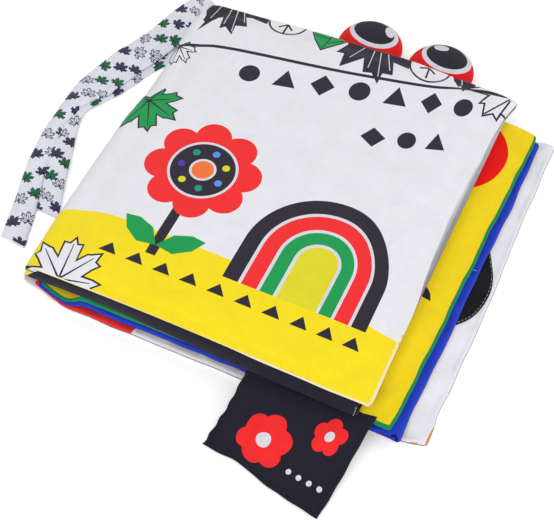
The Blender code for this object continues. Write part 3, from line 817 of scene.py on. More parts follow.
SHOULDER = 2.4
COVER_LOW_SIDE = -HALF_HEIGHT + SHOULDER
COVER_HIGH_SIDE = HALF_HEIGHT - SHOULDER
RIGHT_WALL = [(0, 0), (1.3, 0), (2.3, 0.6), (2.95, 2.2), (2.8, 4.2), (1.6, 6.8), (0.0, 9.0)]
SHARP_WALL = [(0, 0), (1.6, 0), (2.8, 0.05), (3.05, 0.2), (3.0, 0.6), (2.5, 1.8), (1.8, 3.8), (0.9, 6.4),
              (0.0, 9.0)]
HIGH_WALL = [(0, 0), (1.3, 0), (2.2, 0.6), (2.6, 2.2), (2.6, 4.5), (2.2, 7.0), (1.4, 9.0)]
FOLD_SIDE = [(0, 0), (3.2, 0.15), (6.2, 1.2), (8.2, 3.8), (8.7, 6.8), (8.5, 10.4)]
SEAM_SIDE = [(0, 0), (0.7, 0), (1.2, 0.25), (1.35, 0.6)]
LOW_ROLL = [(0, 0), (1.2, 0), (2.2, 0.7), (2.3, 2.6)]
FOLD_ROLL = [(0, 0), (1.4, -0.3), (2.8, -2.4), (3.5, -1.8), (3.3, 1.0), (2.9, 5.0)]
FRONT_WALL = [(0, 0), (1.9, 0), (2.9, 0.8), (3.0, 3.4), (2.5, 6.4), (1.65, 8.8), (0.9, 9.5)]

COVER_RIGHT_SIDE = COVER_REACH - SHOULDER
LINING_RIGHT_SIDE = 149.3

cover_top = Rolled(
    SHOULDER, COVER_RIGHT_SIDE, COVER_LOW_SIDE, COVER_HIGH_SIDE,
    (RIGHT_WALL, HIGH_WALL, FOLD_SIDE, SEAM_SIDE),
)
cover_under = Rolled(
    -0.8, LINING_RIGHT_SIDE, COVER_LOW_SIDE, COVER_HIGH_SIDE,
    (LOW_ROLL, LOW_ROLL, FOLD_ROLL, FRONT_WALL), 0.3,
)
sharp_wall = curve_table(SHARP_WALL)

# Where the sewn edges really run, as (along, place) pairs
cover_right_line = edge_line((
    (-86, 153.7), (-80, 154.0), (-67, 153.4), (-52, 153.1), (-40, 152.9), (-30, 152.3), (-22, 151.0),
    (-10, 149.9), (0, 149.5), (10, 149.0), (20, 149.0), (30, 149.2), (40, 149.1), (52, 149.9), (65, 150.0),
    (80, 151.7), (86, 154.4),
))
cover_high_line = edge_line((
    (-6, 84.6), (2, 86.2), (20, 87.1), (29, 87.7), (38, 88.8), (50, 89.4), (64, 89.8), (84, 89.9),
    (96, 90.3), (108, 89.9), (118, 89.3), (133, 89.3), (146, 89.0), (156, 88.0),
))
cover_seam_line = edge_line((
    (0, -84.0), (14, -83.8), (32, -83.5), (54, -83.4), (76, -83.6), (93, -84.0), (104, -84.6), (125, -84.9),
    (136, -85.3), (156, -85.1),
))
cover_foot_line = edge_line((
    (0, -84.0), (31, -83.0), (42, -83.3), (54, -84.2), (65, -84.4), (88, -85.8), (115, -86.1), (142, -86.7),
    (156, -86.4),
))
fold_line = edge_line((
    (-84, 0.9), (-79, 0.4), (-57, -0.4), (5, -0.4), (19, 0.9), (28, 2.4), (40, 2.2), (52, 1.0), (70, 0.0),
    (84, 1.4),
))


def cover_height(x, y):
    """Height of the front cover's printed face."""
    inside = np.minimum(np.minimum(x, COVER_REACH - x), HALF_HEIGHT - np.abs(y))
    crown = 1.0 * ease(inside / 34.0)
    return COVER_LOW + COVER_THICKNESS + COVER_TILT * x / COVER_REACH + crown - 0.3


def cover_shape(points):
    """Where the sewn edges pull both cloths of the front cover."""
    x, y, z = (points[:, i].copy() for i in range(3))
    points[:, 0] += ease((x - 106) / 48) * (cover_right_line(y) - (COVER_REACH + 0.55))
    points[:, 0] += ease((14 - x) / 17) * fold_line(y)
    high = ease((y - 45) / 40)
    points[:, 1] += high * (cover_high_line(x) - (COVER_HIGH_SIDE + 2.6))
    points[:, 2] += high * 1.3 * np.exp(-(((x - 104) / 34) ** 2))
    level = np.clip((z - COVER_LOW) / 9.5, 0, 1)
    seam = cover_seam_line(x) - (COVER_LOW_SIDE - 1.35)
    foot = cover_foot_line(x) - (COVER_LOW_SIDE - 2.95)
    points[:, 1] += ease((-y - 52) / 32) * (foot + (seam - foot) * level)
    return points


def over_cover(flat):
    """Place of the printed cloth."""
    base, way, out, drop = cover_top.split(flat)
    corner = ease((-base[:, 1] - 64) / 18) * ease((way[:, 0] - 0.1) / 0.5)
    drop = drop * (1 - 0.74 * corner)
    sharp = ease((14 - base[:, 1]) / 12) * np.maximum(way[:, 0], 0) ** 2
    length, reach, fall = sharp_wall
    beyond = np.hypot(flat[:, 0] - base[:, 0], flat[:, 1] - base[:, 1])
    out = out + sharp * (np.interp(beyond, length, reach) - out)
    drop = drop + sharp * (np.interp(beyond, length, fall) * (1 - 0.74 * corner) - drop)
    x = base[:, 0] + way[:, 0] * out
    y = base[:, 1] + way[:, 1] * out
    z = cover_height(base[:, 0], base[:, 1]) - drop
    inside = np.minimum(np.minimum(x, COVER_REACH - x), HALF_HEIGHT - np.abs(y))
    z += 0.12 * ripples(flat[:, 0], flat[:, 1], 21, 16, 60) * ease(inside / 8)
    places = cover_shape(np.stack((x, y, z), 1))
    if cover_moves:
        free = ease((flat[:, 0] - 3) / 12) * ease((flat[:, 1] - COVER_LOW_SIDE + 0.5) / 7)
        free *= ease((COVER_RIGHT_SIDE - flat[:, 0]) / 12) * ease((COVER_HIGH_SIDE - flat[:, 1]) / 7)
        places += cover_moves[0].read(flat) * free[:, None]
    return places


def under_cover(flat):
    """Place of the black lining, which also makes the bottom wall."""
    base, way, out, drop = cover_under.split(flat)
    x = base[:, 0] + way[:, 0] * out
    y = base[:, 1] + way[:, 1] * out
    square = out * (1 / np.maximum(np.abs(way).max(1), 0.7) - 1) * (way[:, 0] > 0) * (way[:, 1] < 0)
    x += way[:, 0] * square
    y += way[:, 1] * square
    x -= 2.4 * ease((-y - 80) / 4) * ease((9 - x) / 9)
    rise = (cover_height(base[:, 0], base[:, 1]) - COVER_LOW) / (COVER_THICKNESS + 0.4)
    z = COVER_LOW + drop * rise
    return cover_shape(np.stack((x, y, z), 1))


cover_moves = []


def solve_cover():
    """Puckers of the printed cloth, from the solver."""
    points, faces, _ = cut_cloth(cover_top.edge(1.0, 3.6, 5), [], cover_top.rows(4, 3.6))
    upper = over_cover(points)
    lower = upper * np.array((0.97, 0.97, 0.0)) + np.array((2.3, 0.0, COVER_LOW))
    count = len(points)
    rim = open_edges(faces)
    sides = [(b, a, a + count) for a, b in rim] + [(b, a + count, b + count) for a, b in rim]
    everything = np.vstack((faces, faces[:, ::-1] + count, np.array(sorted(sides))))
    held = np.ones(2 * count, bool)
    held[:count] = False
    held[[a for a, _ in rim]] = True
    held[:count] |= points[:, 0] < 3
    held[:count] |= points[:, 0] > COVER_RIGHT_SIDE + 2.5
    found = pressed(np.vstack((upper, lower)), everything, held, 1.6, 0.012, 1.5)
    cover_moves.append(Moves(points, found[:count] - upper, 3.6, 0.75))


def slanted(origin, along, degrees):
    """A point along a slanted row."""
    turn = math.radians(degrees)
    return (origin[0] + along * math.cos(turn), origin[1] + along * math.sin(turn))


def cover_print_and_edge_shade():
    """Everything printed on the front cover, with a stroke of painted shade along its right edge, in the
    order it is laid down.
    """
    shapes = []
    upper = curve([
        (-22, -58.5), (-12, -54.5), (-4, -51.7), (10, -47.6), (27, -46.3), (60, -46.6), (88, -47.3),
        (107, -48.3), (130, -50.7), (150, -52.9), (172, -55),
    ], 60)
    shapes.append(("yellow", upper + [(172, -110), (-22, -110)]))
    # Green leaf by the fold, twig line and hanging leaves along the top
    shapes += leaf(-0.2, 18.6, 20.5, -62, "green", "charcoal", 0.75, "charcoal")
    twig = curve([
        (-14, 47), (-7.2, 52.4), (-3.4, 54.5), (1.4, 56.2), (11.2, 58.4), (25.6, 60.6), (44.6, 62.8),
        (63.7, 65.0), (82.5, 67.6), (100.8, 70.4), (119.5, 74.9), (136.9, 81.4), (145.8, 83.7), (160, 87),
    ], 80)
    first = [
        (-2.4, 93), (-2.4, 80.0), (-0.4, 76.4), (0.0, 72.8), (1.4, 72.0), (0.4, 65.6), (4.2, 73.4),
        (6.2, 76.3), (8.4, 77.2), (10.2, 69.8), (12.7, 71.5), (17.5, 67.8), (16.8, 73.7), (21.9, 74.9),
        (18.4, 81.4), (20.8, 82.0), (28.9, 80.7), (29.5, 93),
    ]
    second = [
        (69.9, 93), (69.3, 82.6), (66.5, 75.5), (70.2, 76.0), (71.4, 68.5), (79.8, 77.1), (82.6, 69.4),
        (86.7, 70.3), (91.5, 65.7), (91.3, 71.6), (96.0, 72.2), (93.2, 79.8), (101.1, 78.7), (99.4, 93),
    ]
    third = [
        (122.3, 93), (123.3, 82.2), (127.6, 79.0), (128.3, 80.5), (130.9, 77.0), (132.4, 79.9),
        (134.8, 82.3), (133, 93),
    ]
    for hanging in (first, second, third):
        shapes.append(("charcoal", hanging))
    pale_veins = (
        ((3.6, 84), (2.6, 75.0)), ((9.6, 84), (11.0, 73.0)), ((12.9, 84), (16.6, 69.8)),
        ((16.2, 84), (19.6, 77.0)), ((77.4, 83.4), (73.6, 75.0)), ((82.4, 83.4), (83.8, 72.4)),
        ((85.6, 83.4), (90.2, 69.2)), ((89.1, 83.4), (93.8, 74.1)), ((126.6, 84.4), (128.6, 81.0)),
    )
    for start, end in pale_veins:
        shapes.append(("pale", bar(start, end, 0.42)))
    for x, y, reach in ((38.2, 86.0, 9.7), (110.0, 85.3, 10.6)):
        shapes.append(("charcoal", circle(x, y, reach)))
        shapes.append(("white", circle(x, y, reach - 0.95)))
    hanging_green = [(49.8, 93), (50.6, 83.6), (53.6, 79.6), (59.4, 73.4), (68.4, 83.4), (68.0, 93)]
    shapes.append(("charcoal", hanging_green))
    shapes.append(("green", shrunk(hanging_green, 0.6)))
    green_veins = (((60.2, 85), (59.5, 74.2)), ((60.0, 82.4), (52.4, 82.6)), ((59.8, 79.4), (66.5, 83.4)))
    for start, end in green_veins:
        shapes.append(("charcoal", bar(start, end, 0.45)))
    corner = [
        (130.2, 79.0), (143.0, 80.6), (141.6, 73.6), (144.3, 74.8), (146.9, 68.6), (150.7, 72.2),
        (154.3, 69.6), (154.2, 73.8), (158.4, 73.9), (160.0, 83), (160, 93), (143, 90),
    ]
    shapes.append(("charcoal", corner))
    shapes.append(("white", shrunk(corner, 0.9)))
    corner_veins = (
        ((152.5, 83.6), (147.2, 70.6)), ((153.2, 83.0), (154.0, 72.4)), ((151.0, 84.0), (134.5, 80.2)),
    )
    for start, end in corner_veins:
        shapes.append(("charcoal", bar(start, end, 0.85)))
    shapes += leaf(-3.2, 54.0, 12.4, -88, "white", "charcoal", 0.62, "charcoal")
    shapes.append(("charcoal", stroke(twig, 1.9, 1.3)))
    for x, y, turns in ((38.4, 83.6, (-1.5, -0.75, -2.5)), (109.4, 83.7, (-1.42, -0.5, -2.75))):
        for number, spoke in enumerate(turns):
            reach = (6.9, 4.4, 4.4)[number]
            tip = (x + reach * math.cos(spoke), y + reach * math.sin(spoke))
            shapes.append(("charcoal", bar((x, y), tip, 0.9)))
    # Two slanted rows of bold plain shapes, well apart
    rows = (
        ((36.0, 50.0), 10.8, 17.0, ("disc", "point", "diamond", "disc", "point", "diamond", "disc")),
        ((102.0, 39.0), 16.0, 16.0, ("diamond", "disc", "point")),
    )
    for start, slant, pitch, kinds in rows:
        tilt = math.radians(slant)
        for number, kind in enumerate(kinds):
            x, y = slanted(start, number * pitch, slant)
            if kind == "diamond":
                shapes.append(("charcoal", polygon(x, y, 5.6, 4, tilt)))
            elif kind == "disc":
                shapes.append(("charcoal", circle(x, y, 4.8)))
            else:
                shapes.append(("charcoal", polygon(x, y - 1.0, 6.2, 3, tilt + math.pi / 2)))
    # A tall round flower at the left, plain striped arches at the right, and a row of small points below
    arch_x, arch_y, foot = 108.0, -34.0, -55.5
    bands = (
        ("charcoal", 33.5), ("pale", 26.5), ("red", 25.0), ("pale", 18.0), ("green", 16.5), ("pale", 10.5),
        ("print_yellow", 9.0),
    )
    for colour, reach in bands:
        arch = []
        for turn in np.linspace(0, math.pi, 48):
            arch.append((arch_x + reach * math.cos(turn), arch_y + reach * math.sin(turn)))
        shapes.append((colour, arch + [(arch_x - reach, foot), (arch_x + reach, foot)]))
    flower_x, flower_y = 42.0, -9.0
    shapes.append(("charcoal", bar((flower_x, flower_y), (flower_x, -58.0), 4.6)))
    for side in (-1, 1):
        blade = [(0.0, 0.0), (5.0, 7.6), (12.5, 10.4), (19.0, 9.6), (15.5, 3.2), (8.5, -1.4)]
        shapes.append(("green", [(flower_x + side * x, -53.0 + y) for x, y in blade]))
    for number in range(8):
        turn = 2 * math.pi * number / 8 + 0.2
        x, y = flower_x + 18.2 * math.cos(turn), flower_y + 18.2 * math.sin(turn)
        shapes.append(("red", circle(x, y, 8.2, 36)))
    for colour, reach in (("pale", 15.6), ("charcoal", 14.4), ("pale", 6.0), ("orange", 4.9)):
        shapes.append((colour, circle(flower_x, flower_y, reach, 60)))
    dots = ("print_yellow", "light_blue", "teal", "purple", "print_yellow", "teal", "light_blue")
    for number, colour in enumerate(dots):
        turn = 2 * math.pi * number / 7 + 0.5
        x, y = flower_x + 10.2 * math.cos(turn), flower_y + 10.2 * math.sin(turn)
        shapes.append((colour, circle(x, y, 1.7, 18)))
    for number in range(10):
        x = 21 + 12.6 * number
        shapes.append(("charcoal", [(x, -64.5), (x + 8.2, -64.5), (x + 4.1, -59.2)]))
    # White leaf on the yellow ground, and the bare edge of the cloth at the seam
    shapes += leaf(12.6, -84.6, 23.0, 98, "white", "charcoal", 0.85, "charcoal")
    low = COVER_LOW_SIDE - cover_top.reach[3]
    shapes.append(("cream", [(3.0, low - 5), (200, low - 5), (200, low + 0.95), (3.0, low + 0.75)]))
    right = COVER_RIGHT_SIDE
    shapes.append(("white", [(right + 4.6, -48.0), (200, -48.0), (200, 120), (right + 4.6, 120)]))
    # Painted shade: a charcoal stroke round the top-right corner and down the right edge stands for the
    # shaded seam of the wall, running on from the printed corner leaf's outline.
    rim = [
        (149.0, 87.2), (154.2, 87.0), (156.6, 85.6), (157.4, 82.6), (157.3, 72.0), (157.2, 62.0),
        (157.1, 52.0),
    ]
    shapes.append(("charcoal", stroke(rim, 1.3, 0.3)))
    strip = [(right + 1.9, low + 0.6), (200, low + 0.6), (200, -48.0), (right + 1.8, -50.0)]
    shapes.append(("cream", strip))
    return shapes


def make_front_cover():
    """Printed cloth and black lining, which stand for the cover's solids."""
    solve_cover()
    printed = cut_cloth(cover_top.edge(), cover_print_and_edge_shade(), cover_top.rows(12, 2.0))
    outer = lay("front_cover_printed_cloth", printed, over_cover, PRINTED)
    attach(outer, "front_cover")
    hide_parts("front_cover_front_cloth", "front_cover_wadding", "front_cover_film")
    plain = cut_cloth(cover_under.edge(), [], cover_under.rows(12, 2.6), "black")
    lining = lay("front_cover_lining_cloth", plain, under_cover, LINING, underside=True)
    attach(lining, "front_cover")
    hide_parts("front_cover_back_cloth")
    wall_end = []
    for step in np.linspace(0, 1, 16):
        away, turn = 3.4 + 5.6 * step, math.radians(18 + 17 * step)
        wall_end.append((LINING_RIGHT_SIDE + away * math.sin(turn), COVER_LOW_SIDE - away * math.cos(turn)))
    sew(
        "lining_end_stitches", [on_surface(under_cover, wall_end, -0.12)], "front_cover",
        PALE_THREAD, pitch=1.9, length=1.35, width=0.34, seed=11,
    )


# Inner leaves and back cover


def margin_rise(x):
    """How far the bound edges curl up behind the binding seam."""
    share = np.clip((11.9 - x) / 10.4, 0, 1.3)
    return 7.0 * share ** 1.3


class Page:
    """A sewn page: its outline, its heights, and the lines that its free edges follow."""

    def __init__(self, reach, half_height, edge, seed, wave, left, lines):
        self.reach = reach
        self.half_height = half_height
        self.edge = edge
        self.seed = seed
        self.wave = wave
        self.left = left
        self.right_line, self.high_line, self.low_line = (edge_line(line) for line in lines)
        self.moves = []

    def inset(self, x, y):
        """Distance inside the page's edges."""
        return np.minimum(self.reach - self.edge - x, self.half_height - self.edge - np.abs(y))

    def solve(self):
        """Puckers of both cloths, from the solver."""
        roll = page_roll(self, (90, 90, 90), 12.5)
        points, faces, _ = cut_cloth(roll.edge(1.0, 3.8, 5), [], roll.rows(3, 3.8))
        places = [over_page(self, roll, way_up)(points) for way_up in (1, -1)]
        count = len(points)
        rim = sorted({a for a, _ in open_edges(faces)})
        under = np.arange(count) + count
        under[rim] = rim
        everything = np.vstack((faces, under[faces[:, ::-1]]))
        held = np.zeros(2 * count, bool)
        held[rim] = True
        held |= np.vstack(places)[:, 0] < 18
        spare = np.zeros(2 * count, bool)
        spare[count + np.array(rim)] = True
        held |= spare
        found = pressed(np.vstack(places), everything, held, 1.2, 0.022, 1.1)
        for number in (0, 1):
            moved = found[number * count:(number + 1) * count] - places[number]
            self.moves.append(Moves(points, moved, 3.8, 0.2))

    def pucker(self, base, side):
        """Movement at a point. side is 1 on top, -1 underneath and 0 at the seam."""
        if not self.moves:
            return np.zeros((len(base), 3))
        share = (1 + side)[:, None] / 2
        seam = 1 - np.sqrt(np.maximum(1 - side ** 2, 0))[:, None]
        return (self.moves[0].read(base) * share + self.moves[1].read(base) * (1 - share)) * seam

    def settle(self, points):
        """Move the free edges to their lines, with small waves that both cloths share."""
        x, y = points[:, 0].copy(), points[:, 1].copy()
        free = ease((x - self.reach + 40) / 40)
        points[:, 0] += free * (self.right_line(y) - self.reach + 0.25 * waves(y, self.seed, 14, 40))
        points[:, 2] += free * self.wave * (0.5 + 0.5 * waves(y, self.seed + 1, 26, 70))
        low = ease((-y - self.half_height + 32) / 32)
        points[:, 1] += low * (self.low_line(x) + self.half_height + 0.2 * waves(x, self.seed + 2, 14, 40))
        high = ease((y - self.half_height + 32) / 32)
        points[:, 1] += high * (self.high_line(x) - self.half_height + 0.2 * waves(x, self.seed + 3, 14, 40))
        return points


class Leaf(Page):
    """An inner leaf that dips to its binding seam."""

    def __init__(self, reach, level, hinge, seed, wave, left, lines):
        super().__init__(reach, LEAF_HALF_HEIGHT, 1.6, seed, wave, left, lines)
        self.level = level
        self.hinge = hinge

    def middle(self, x, y):
        """Height halfway between the leaf's two cloths."""
        return self.hinge + (self.level - self.hinge) * ease((x - 13.3) / 10.0) + margin_rise(x)

    def half(self, x, y):
        """Half the leaf's thickness, there and at its edge."""
        opened = ease((x - 13.3) / 10.0)
        edge_half = 0.75 + (self.edge - 0.75) * opened
        full = 1.7
        inside = ease(self.inset(x, y) / 9.0)
        return edge_half + (full - edge_half) * np.minimum(inside, opened), edge_half


class BackCover(Page):
    """The cover that the book lies on."""

    def __init__(self):
        lines = (
            ((-86, 177.2), (-76, 177.0), (-68, 176.4), (-58, 176.4), (-38, 176.7), (-16, 176.6), (6, 176.2),
             (30, 175.0), (54, 174.5), (79, 174.2), (88, 173.6)),
            ((0, 84.5), (120, 85.0), (160, 85.4), (167, 86.6), (172, 88.2), (178, 88.2)),
            ((0, -84.0), (30, -84.1), (96, -83.7), (140, -83.0), (167, -82.0), (171, -81.6), (177, -79.8)),
        )
        super().__init__(178.0, HALF_HEIGHT, 1.35, 71, 0.0, -0.6, lines)

    def surfaces(self, x, y):
        """Heights of the upper and the lower cloth."""
        swell = ease(self.inset(x, y) / 10.0)
        opened = ease((x - 13.3) / 10.0)
        fullness = np.minimum(swell, opened)
        upper = 2.9 + 2.5 * fullness + 0.5 * opened
        lower = 1.25 * (1 - opened) + 0.2 * opened * (1 - swell)
        return np.where(x < 13.3, 2.75, upper), np.where(x < 13.3, 1.25, lower)

    def middle(self, x, y):
        """Height halfway between the cover's two cloths."""
        upper, lower = self.surfaces(x, y)
        return (upper + lower) / 2 + margin_rise(x)

    def half(self, x, y):
        """Half the cover's thickness, there and at its edge."""
        upper, lower = self.surfaces(x, y)
        opened = ease((x - 13.3) / 10.0)
        return (upper - lower) / 2, 0.75 + (self.edge - 0.75) * opened


def over_page(page, roll, way_up, seam_grow=0.0):
    """Function that lays a cloth over a page's upper side (1) or under it (-1)."""

    def place(flat):
        base, way, out, drop = roll.split(flat)
        x = base[:, 0] + way[:, 0] * (out + seam_grow * (out > 0))
        y = base[:, 1] + way[:, 1] * (out + seam_grow * (out > 0))
        half, edge_half = page.half(base[:, 0], base[:, 1])
        middle = page.middle(np.minimum(base[:, 0] + np.minimum(way[:, 0] * out, 0), page.reach), base[:, 1])
        z = middle + way_up * (half - drop * edge_half / page.edge)
        side = way_up * np.clip(1 - drop / page.edge, -1, 1)
        return page.settle(np.stack((x, y, z), 1)) + page.pucker(base, side)

    return place


def page_roll(page, degrees, left):
    """A page's cloth. It rolls this far round the right, high and low edges and ends flat by the spine."""
    right, high, low = (circle_side(page.edge, turn) for turn in degrees)
    flat_end = [(0, 0), (0.3, 0)]
    half = page.half_height - page.edge
    return Rolled(left + 0.3, page.reach - page.edge, -half, half, (right, high, flat_end, low))


def make_page(name, body, page, turn, inks, prints, materials, front_nodes, back_nodes):
    """Front and back cloth of a page. turn is how far the front cloth rolls round each edge, in degrees."""
    rest = tuple(180 - degrees for degrees in turn)
    for number, (way_up, degrees, ink, shapes, nodes) in enumerate(
        ((1, turn, inks[0], prints[0], front_nodes), (-1, rest, inks[1], prints[1], back_nodes))
    ):
        left = page.left if way_up > 0 or body != "back_cover" else 10.0
        roll = page_roll(page, degrees, left)
        cloth = cut_cloth(roll.edge(), shapes, roll.rows(9, 2.6), ink)
        label = ("front", "back")[number]
        place = over_page(page, roll, way_up, 0.0 if way_up > 0 else 0.12)
        made = lay(f"{name}_{label}_skin", cloth, place, materials[number], underside=way_up < 0)
        if body == "back_cover":
            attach(made, "back_cover")
        else:
            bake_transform(made)
        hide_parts(*nodes)


# How far each page's front cloth rolls round its right, high and low edges, in degrees
LEAF_TWO_ROLL = (18, 75, 13)
LEAF_THREE_ROLL = (104, 104, 104)
BACK_COVER_ROLL = (100, 100, 100)

leaf_two = Leaf(
    167.0, 12.1, 5.6, 31, 0.5, 2.4,
    (
        ((-84, 163.0), (-72, 163.8), (-46, 164.3), (-27, 164.7), (-5, 164.7), (6, 165.1), (19, 165.0),
         (33, 165.4), (64, 166.1), (76, 166.3), (84, 165.6)),
        ((0, 83.6), (140, 83.8), (150, 83.8), (158, 83.3), (163, 82.7), (167, 81.4)),
        ((0, -83.2), (30, -83.2), (64, -82.9), (120, -83.5), (150, -84.4), (167, -85.4)),
    ),
)
leaf_three = Leaf(
    170.0, 8.4, 3.8, 51, 0.0, 1.2,
    (
        ((-86, 167.6), (-72, 167.2), (-59, 167.4), (-26, 168.1), (-4, 167.7), (19, 168.2), (45, 168.7),
         (56, 168.4), (78, 168.0)),
        ((0, 83.6), (140, 83.0), (168, 81.2)),
        ((0, -83.9), (42, -83.8), (64, -83.5), (87, -83.3), (120, -84.4), (155, -86.0), (167, -86.5)),
    ),
)
back_page = BackCover()


def leaf_two_print():
    """A plain red disc and a dark curved blade show beyond the cover."""
    blade = curve([(134, -11.0), (147.7, -14.9), (152.7, -16.9), (155.6, -19.4), (157.3, -22.9)], 24)
    blade += curve([(157.3, -22.9), (153.2, -22.2), (148.8, -20.8), (134, -20.0)], 24)
    return [("disc_red", circle(137.4, 58.4, 22.1, 70)), ("charcoal", blade)]


def leaf_three_curl_shade():
    """Painted shade in navy, a darker blue than the cloth, in the curl of the rolled lower corner, with a
    thin line of it along the low edge leading into the curl.
    """
    turned = [(166.0, -83.6), (167.4, -82.7), (168.6, -83.8), (169.2, -86.6), (169.0, -89.0)]
    return [("navy", stroke(turned, 1.2, 1.5)), ("navy", stroke([(161.0, -84.8), (166.2, -83.9)], 0.45))]


def back_print():
    """The red field by the spine."""
    return [
        ("red", [(-10, -100), (40, -100), (45.5, -83), (52, -66), (46, 100), (-10, 100)]),
        ("mark_orange", [(178.4, -74.0), (190, -72.0), (190, -95), (177.4, -85.2), (177.2, -81.0)]),
        ("mark_orange", [(171.0, -85.3), (174.2, -85.0), (174.2, -95), (171.0, -95)]),
    ]


def make_pages():
    """Both inner leaves and the back cover."""
    for page in (leaf_two, leaf_three, back_page):
        page.solve()
    make_page(
        "leaf_two", "leaf_two", leaf_two, LEAF_TWO_ROLL, ("leaf_yellow", "leaf_green"),
        (leaf_two_print(), []), (LEAF_CLOTH, LEAF_CLOTH),
        ("leaf_two_front_cloth", "leaf_two_wadding", "leaf_two_film", "leaf_two_margin"),
        ("leaf_two_back_cloth",),
    )
    make_page(
        "leaf_three", "leaf_three", leaf_three, LEAF_THREE_ROLL, ("blue", "black"), (leaf_three_curl_shade(), []),
        (LEAF_CLOTH, LINING),
        ("leaf_three_front_cloth", "leaf_three_wadding", "leaf_three_film", "leaf_three_margin"),
        ("leaf_three_back_cloth",),
    )
    loose = [(163.9, 2.6, 10.3), (164.6, 3.0, 10.9), (165.3, 2.9, 11.1), (165.9, 2.2, 10.7)]
    sew(
        "leaf_three_loose_thread", [loose], "leaf_three", PALE_THREAD,
        pitch=2.4, length=2.2, width=0.3, seed=12,
    )
    make_page(
        "back_cover", "back_cover", back_page, BACK_COVER_ROLL, ("white", "white"), (back_print(), []),
        (PRINTED, PRINTED),
        ("back_cover_front_cloth", "back_cover_wadding", "back_cover_film", "back_cover_margin"),
        ("back_cover_back_cloth",),
    )


# Closed strips and discs


def solve_piece(made, is_held, pressure, slack, cap):
    """Let the solver settle a finished padded piece in place. is_held picks the held points."""
    mesh = made.data
    places = np.empty(len(mesh.vertices) * 3)
    mesh.vertices.foreach_get("co", places)
    places = places.reshape(-1, 3) / MM
    places[:, 0] -= FOLD_X
    faces = [list(face.vertices) for face in mesh.polygons]
    found = pressed(places, faces, is_held(places), pressure, slack, cap)
    found[:, 0] += FOLD_X
    mesh.vertices.foreach_set("co", (found * MM).ravel())
    mesh.update()


def rounded_edge(distance, half):
    """Half thickness near a rounded edge."""
    share = np.clip(distance / half, 0, 1)
    return half * np.sqrt(np.maximum(1 - (1 - share) ** 2, 0))


def thick_piece(name, cloth, place, half_of, material, back_ink=None):
    """A closed cloth piece: the cut cloth above and below a surface, joined round its edge."""
    points, faces, inks = cloth
    centre = place(points)
    normals = facing(place, points)
    half = half_of(points)[:, None]
    count = len(points)
    both = np.vstack((centre + normals * half, centre - normals * half))
    sides = []
    for a, b in open_edges(faces):
        sides.append((b, a, a + count))
        sides.append((b, a + count, b + count))
    everything = np.vstack((faces, faces[:, ::-1] + count, np.array(sides)))
    back = [back_ink or ink for ink in inks]
    side_inks = [back_ink or "white"] * len(sides)
    flat = np.vstack((points, points + np.array((0.37, 0.21))))
    return finish_mesh(name, both, everything, flat, list(inks) + back + side_inks, material)


def grid_inside(edge, spacing):
    """A staggered grid of points over a flat shape's box."""
    line = np.array(edge)
    low, high = line.min(0), line.max(0)
    points = []
    y = low[1] + spacing / 2
    odd = 0
    while y < high[1]:
        x = low[0] + spacing / 2 * (1 + odd)
        while x < high[0]:
            points.append((x, y))
            x += spacing
        y += spacing * 0.87
        odd = 1 - odd
    return points


# The spine cloth's run from the front cover down to the back cover, as (x, height)
SPINE_LINE = [
    (-5.3, 15.6), (-5.6, 13.6), (-5.9, 11.9), (-5.0, 10.4), (-1.5, 8.4), (3.0, 5.4), (7.5, 2.9), (11.5, 1.1),
    (14.5, 0.62), (17.0, 0.62),
]


def make_spine():
    """The outer cloth between the front cover's fold and the back cover's underside."""
    length, xs, zs = curve_table(SPINE_LINE)
    total = length[-1]

    def place(flat):
        x = np.interp(flat[:, 0], length, xs)
        z = np.interp(flat[:, 0], length, zs)
        y = flat[:, 1] + 0.25 * waves(flat[:, 0], 61, 9, 22) * np.sign(flat[:, 1])
        return np.stack((x, y, z), 1)

    half_height = 84.2
    edge = []
    for s in np.linspace(0.05, total - 0.05, 26):
        edge.append((s, -half_height))
    for y in np.linspace(-half_height, half_height, 60)[1:-1]:
        edge.append((total - 0.05, y))
    for s in np.linspace(total - 0.05, 0.05, 26):
        edge.append((s, half_height))
    for y in np.linspace(half_height, -half_height, 60)[1:-1]:
        edge.append((0.05, y))
    columns = np.linspace(0.6, total - 0.6, 34)
    inside = [(s, y) for s in columns for y in np.linspace(-half_height + 0.8, half_height - 0.8, 70)]
    inside += [(s, side * (half_height - d)) for s in columns for d in (0.15, 0.4) for side in (1, -1)]
    cloth = cut_cloth(edge, [], inside)

    def half(points):
        return np.maximum(rounded_edge(half_height - np.abs(points[:, 1]), 0.55), 0.06)

    made = thick_piece("spine_outer_cloth", cloth, place, half, PRINTED)
    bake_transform(made)
    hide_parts("spine_cloth")


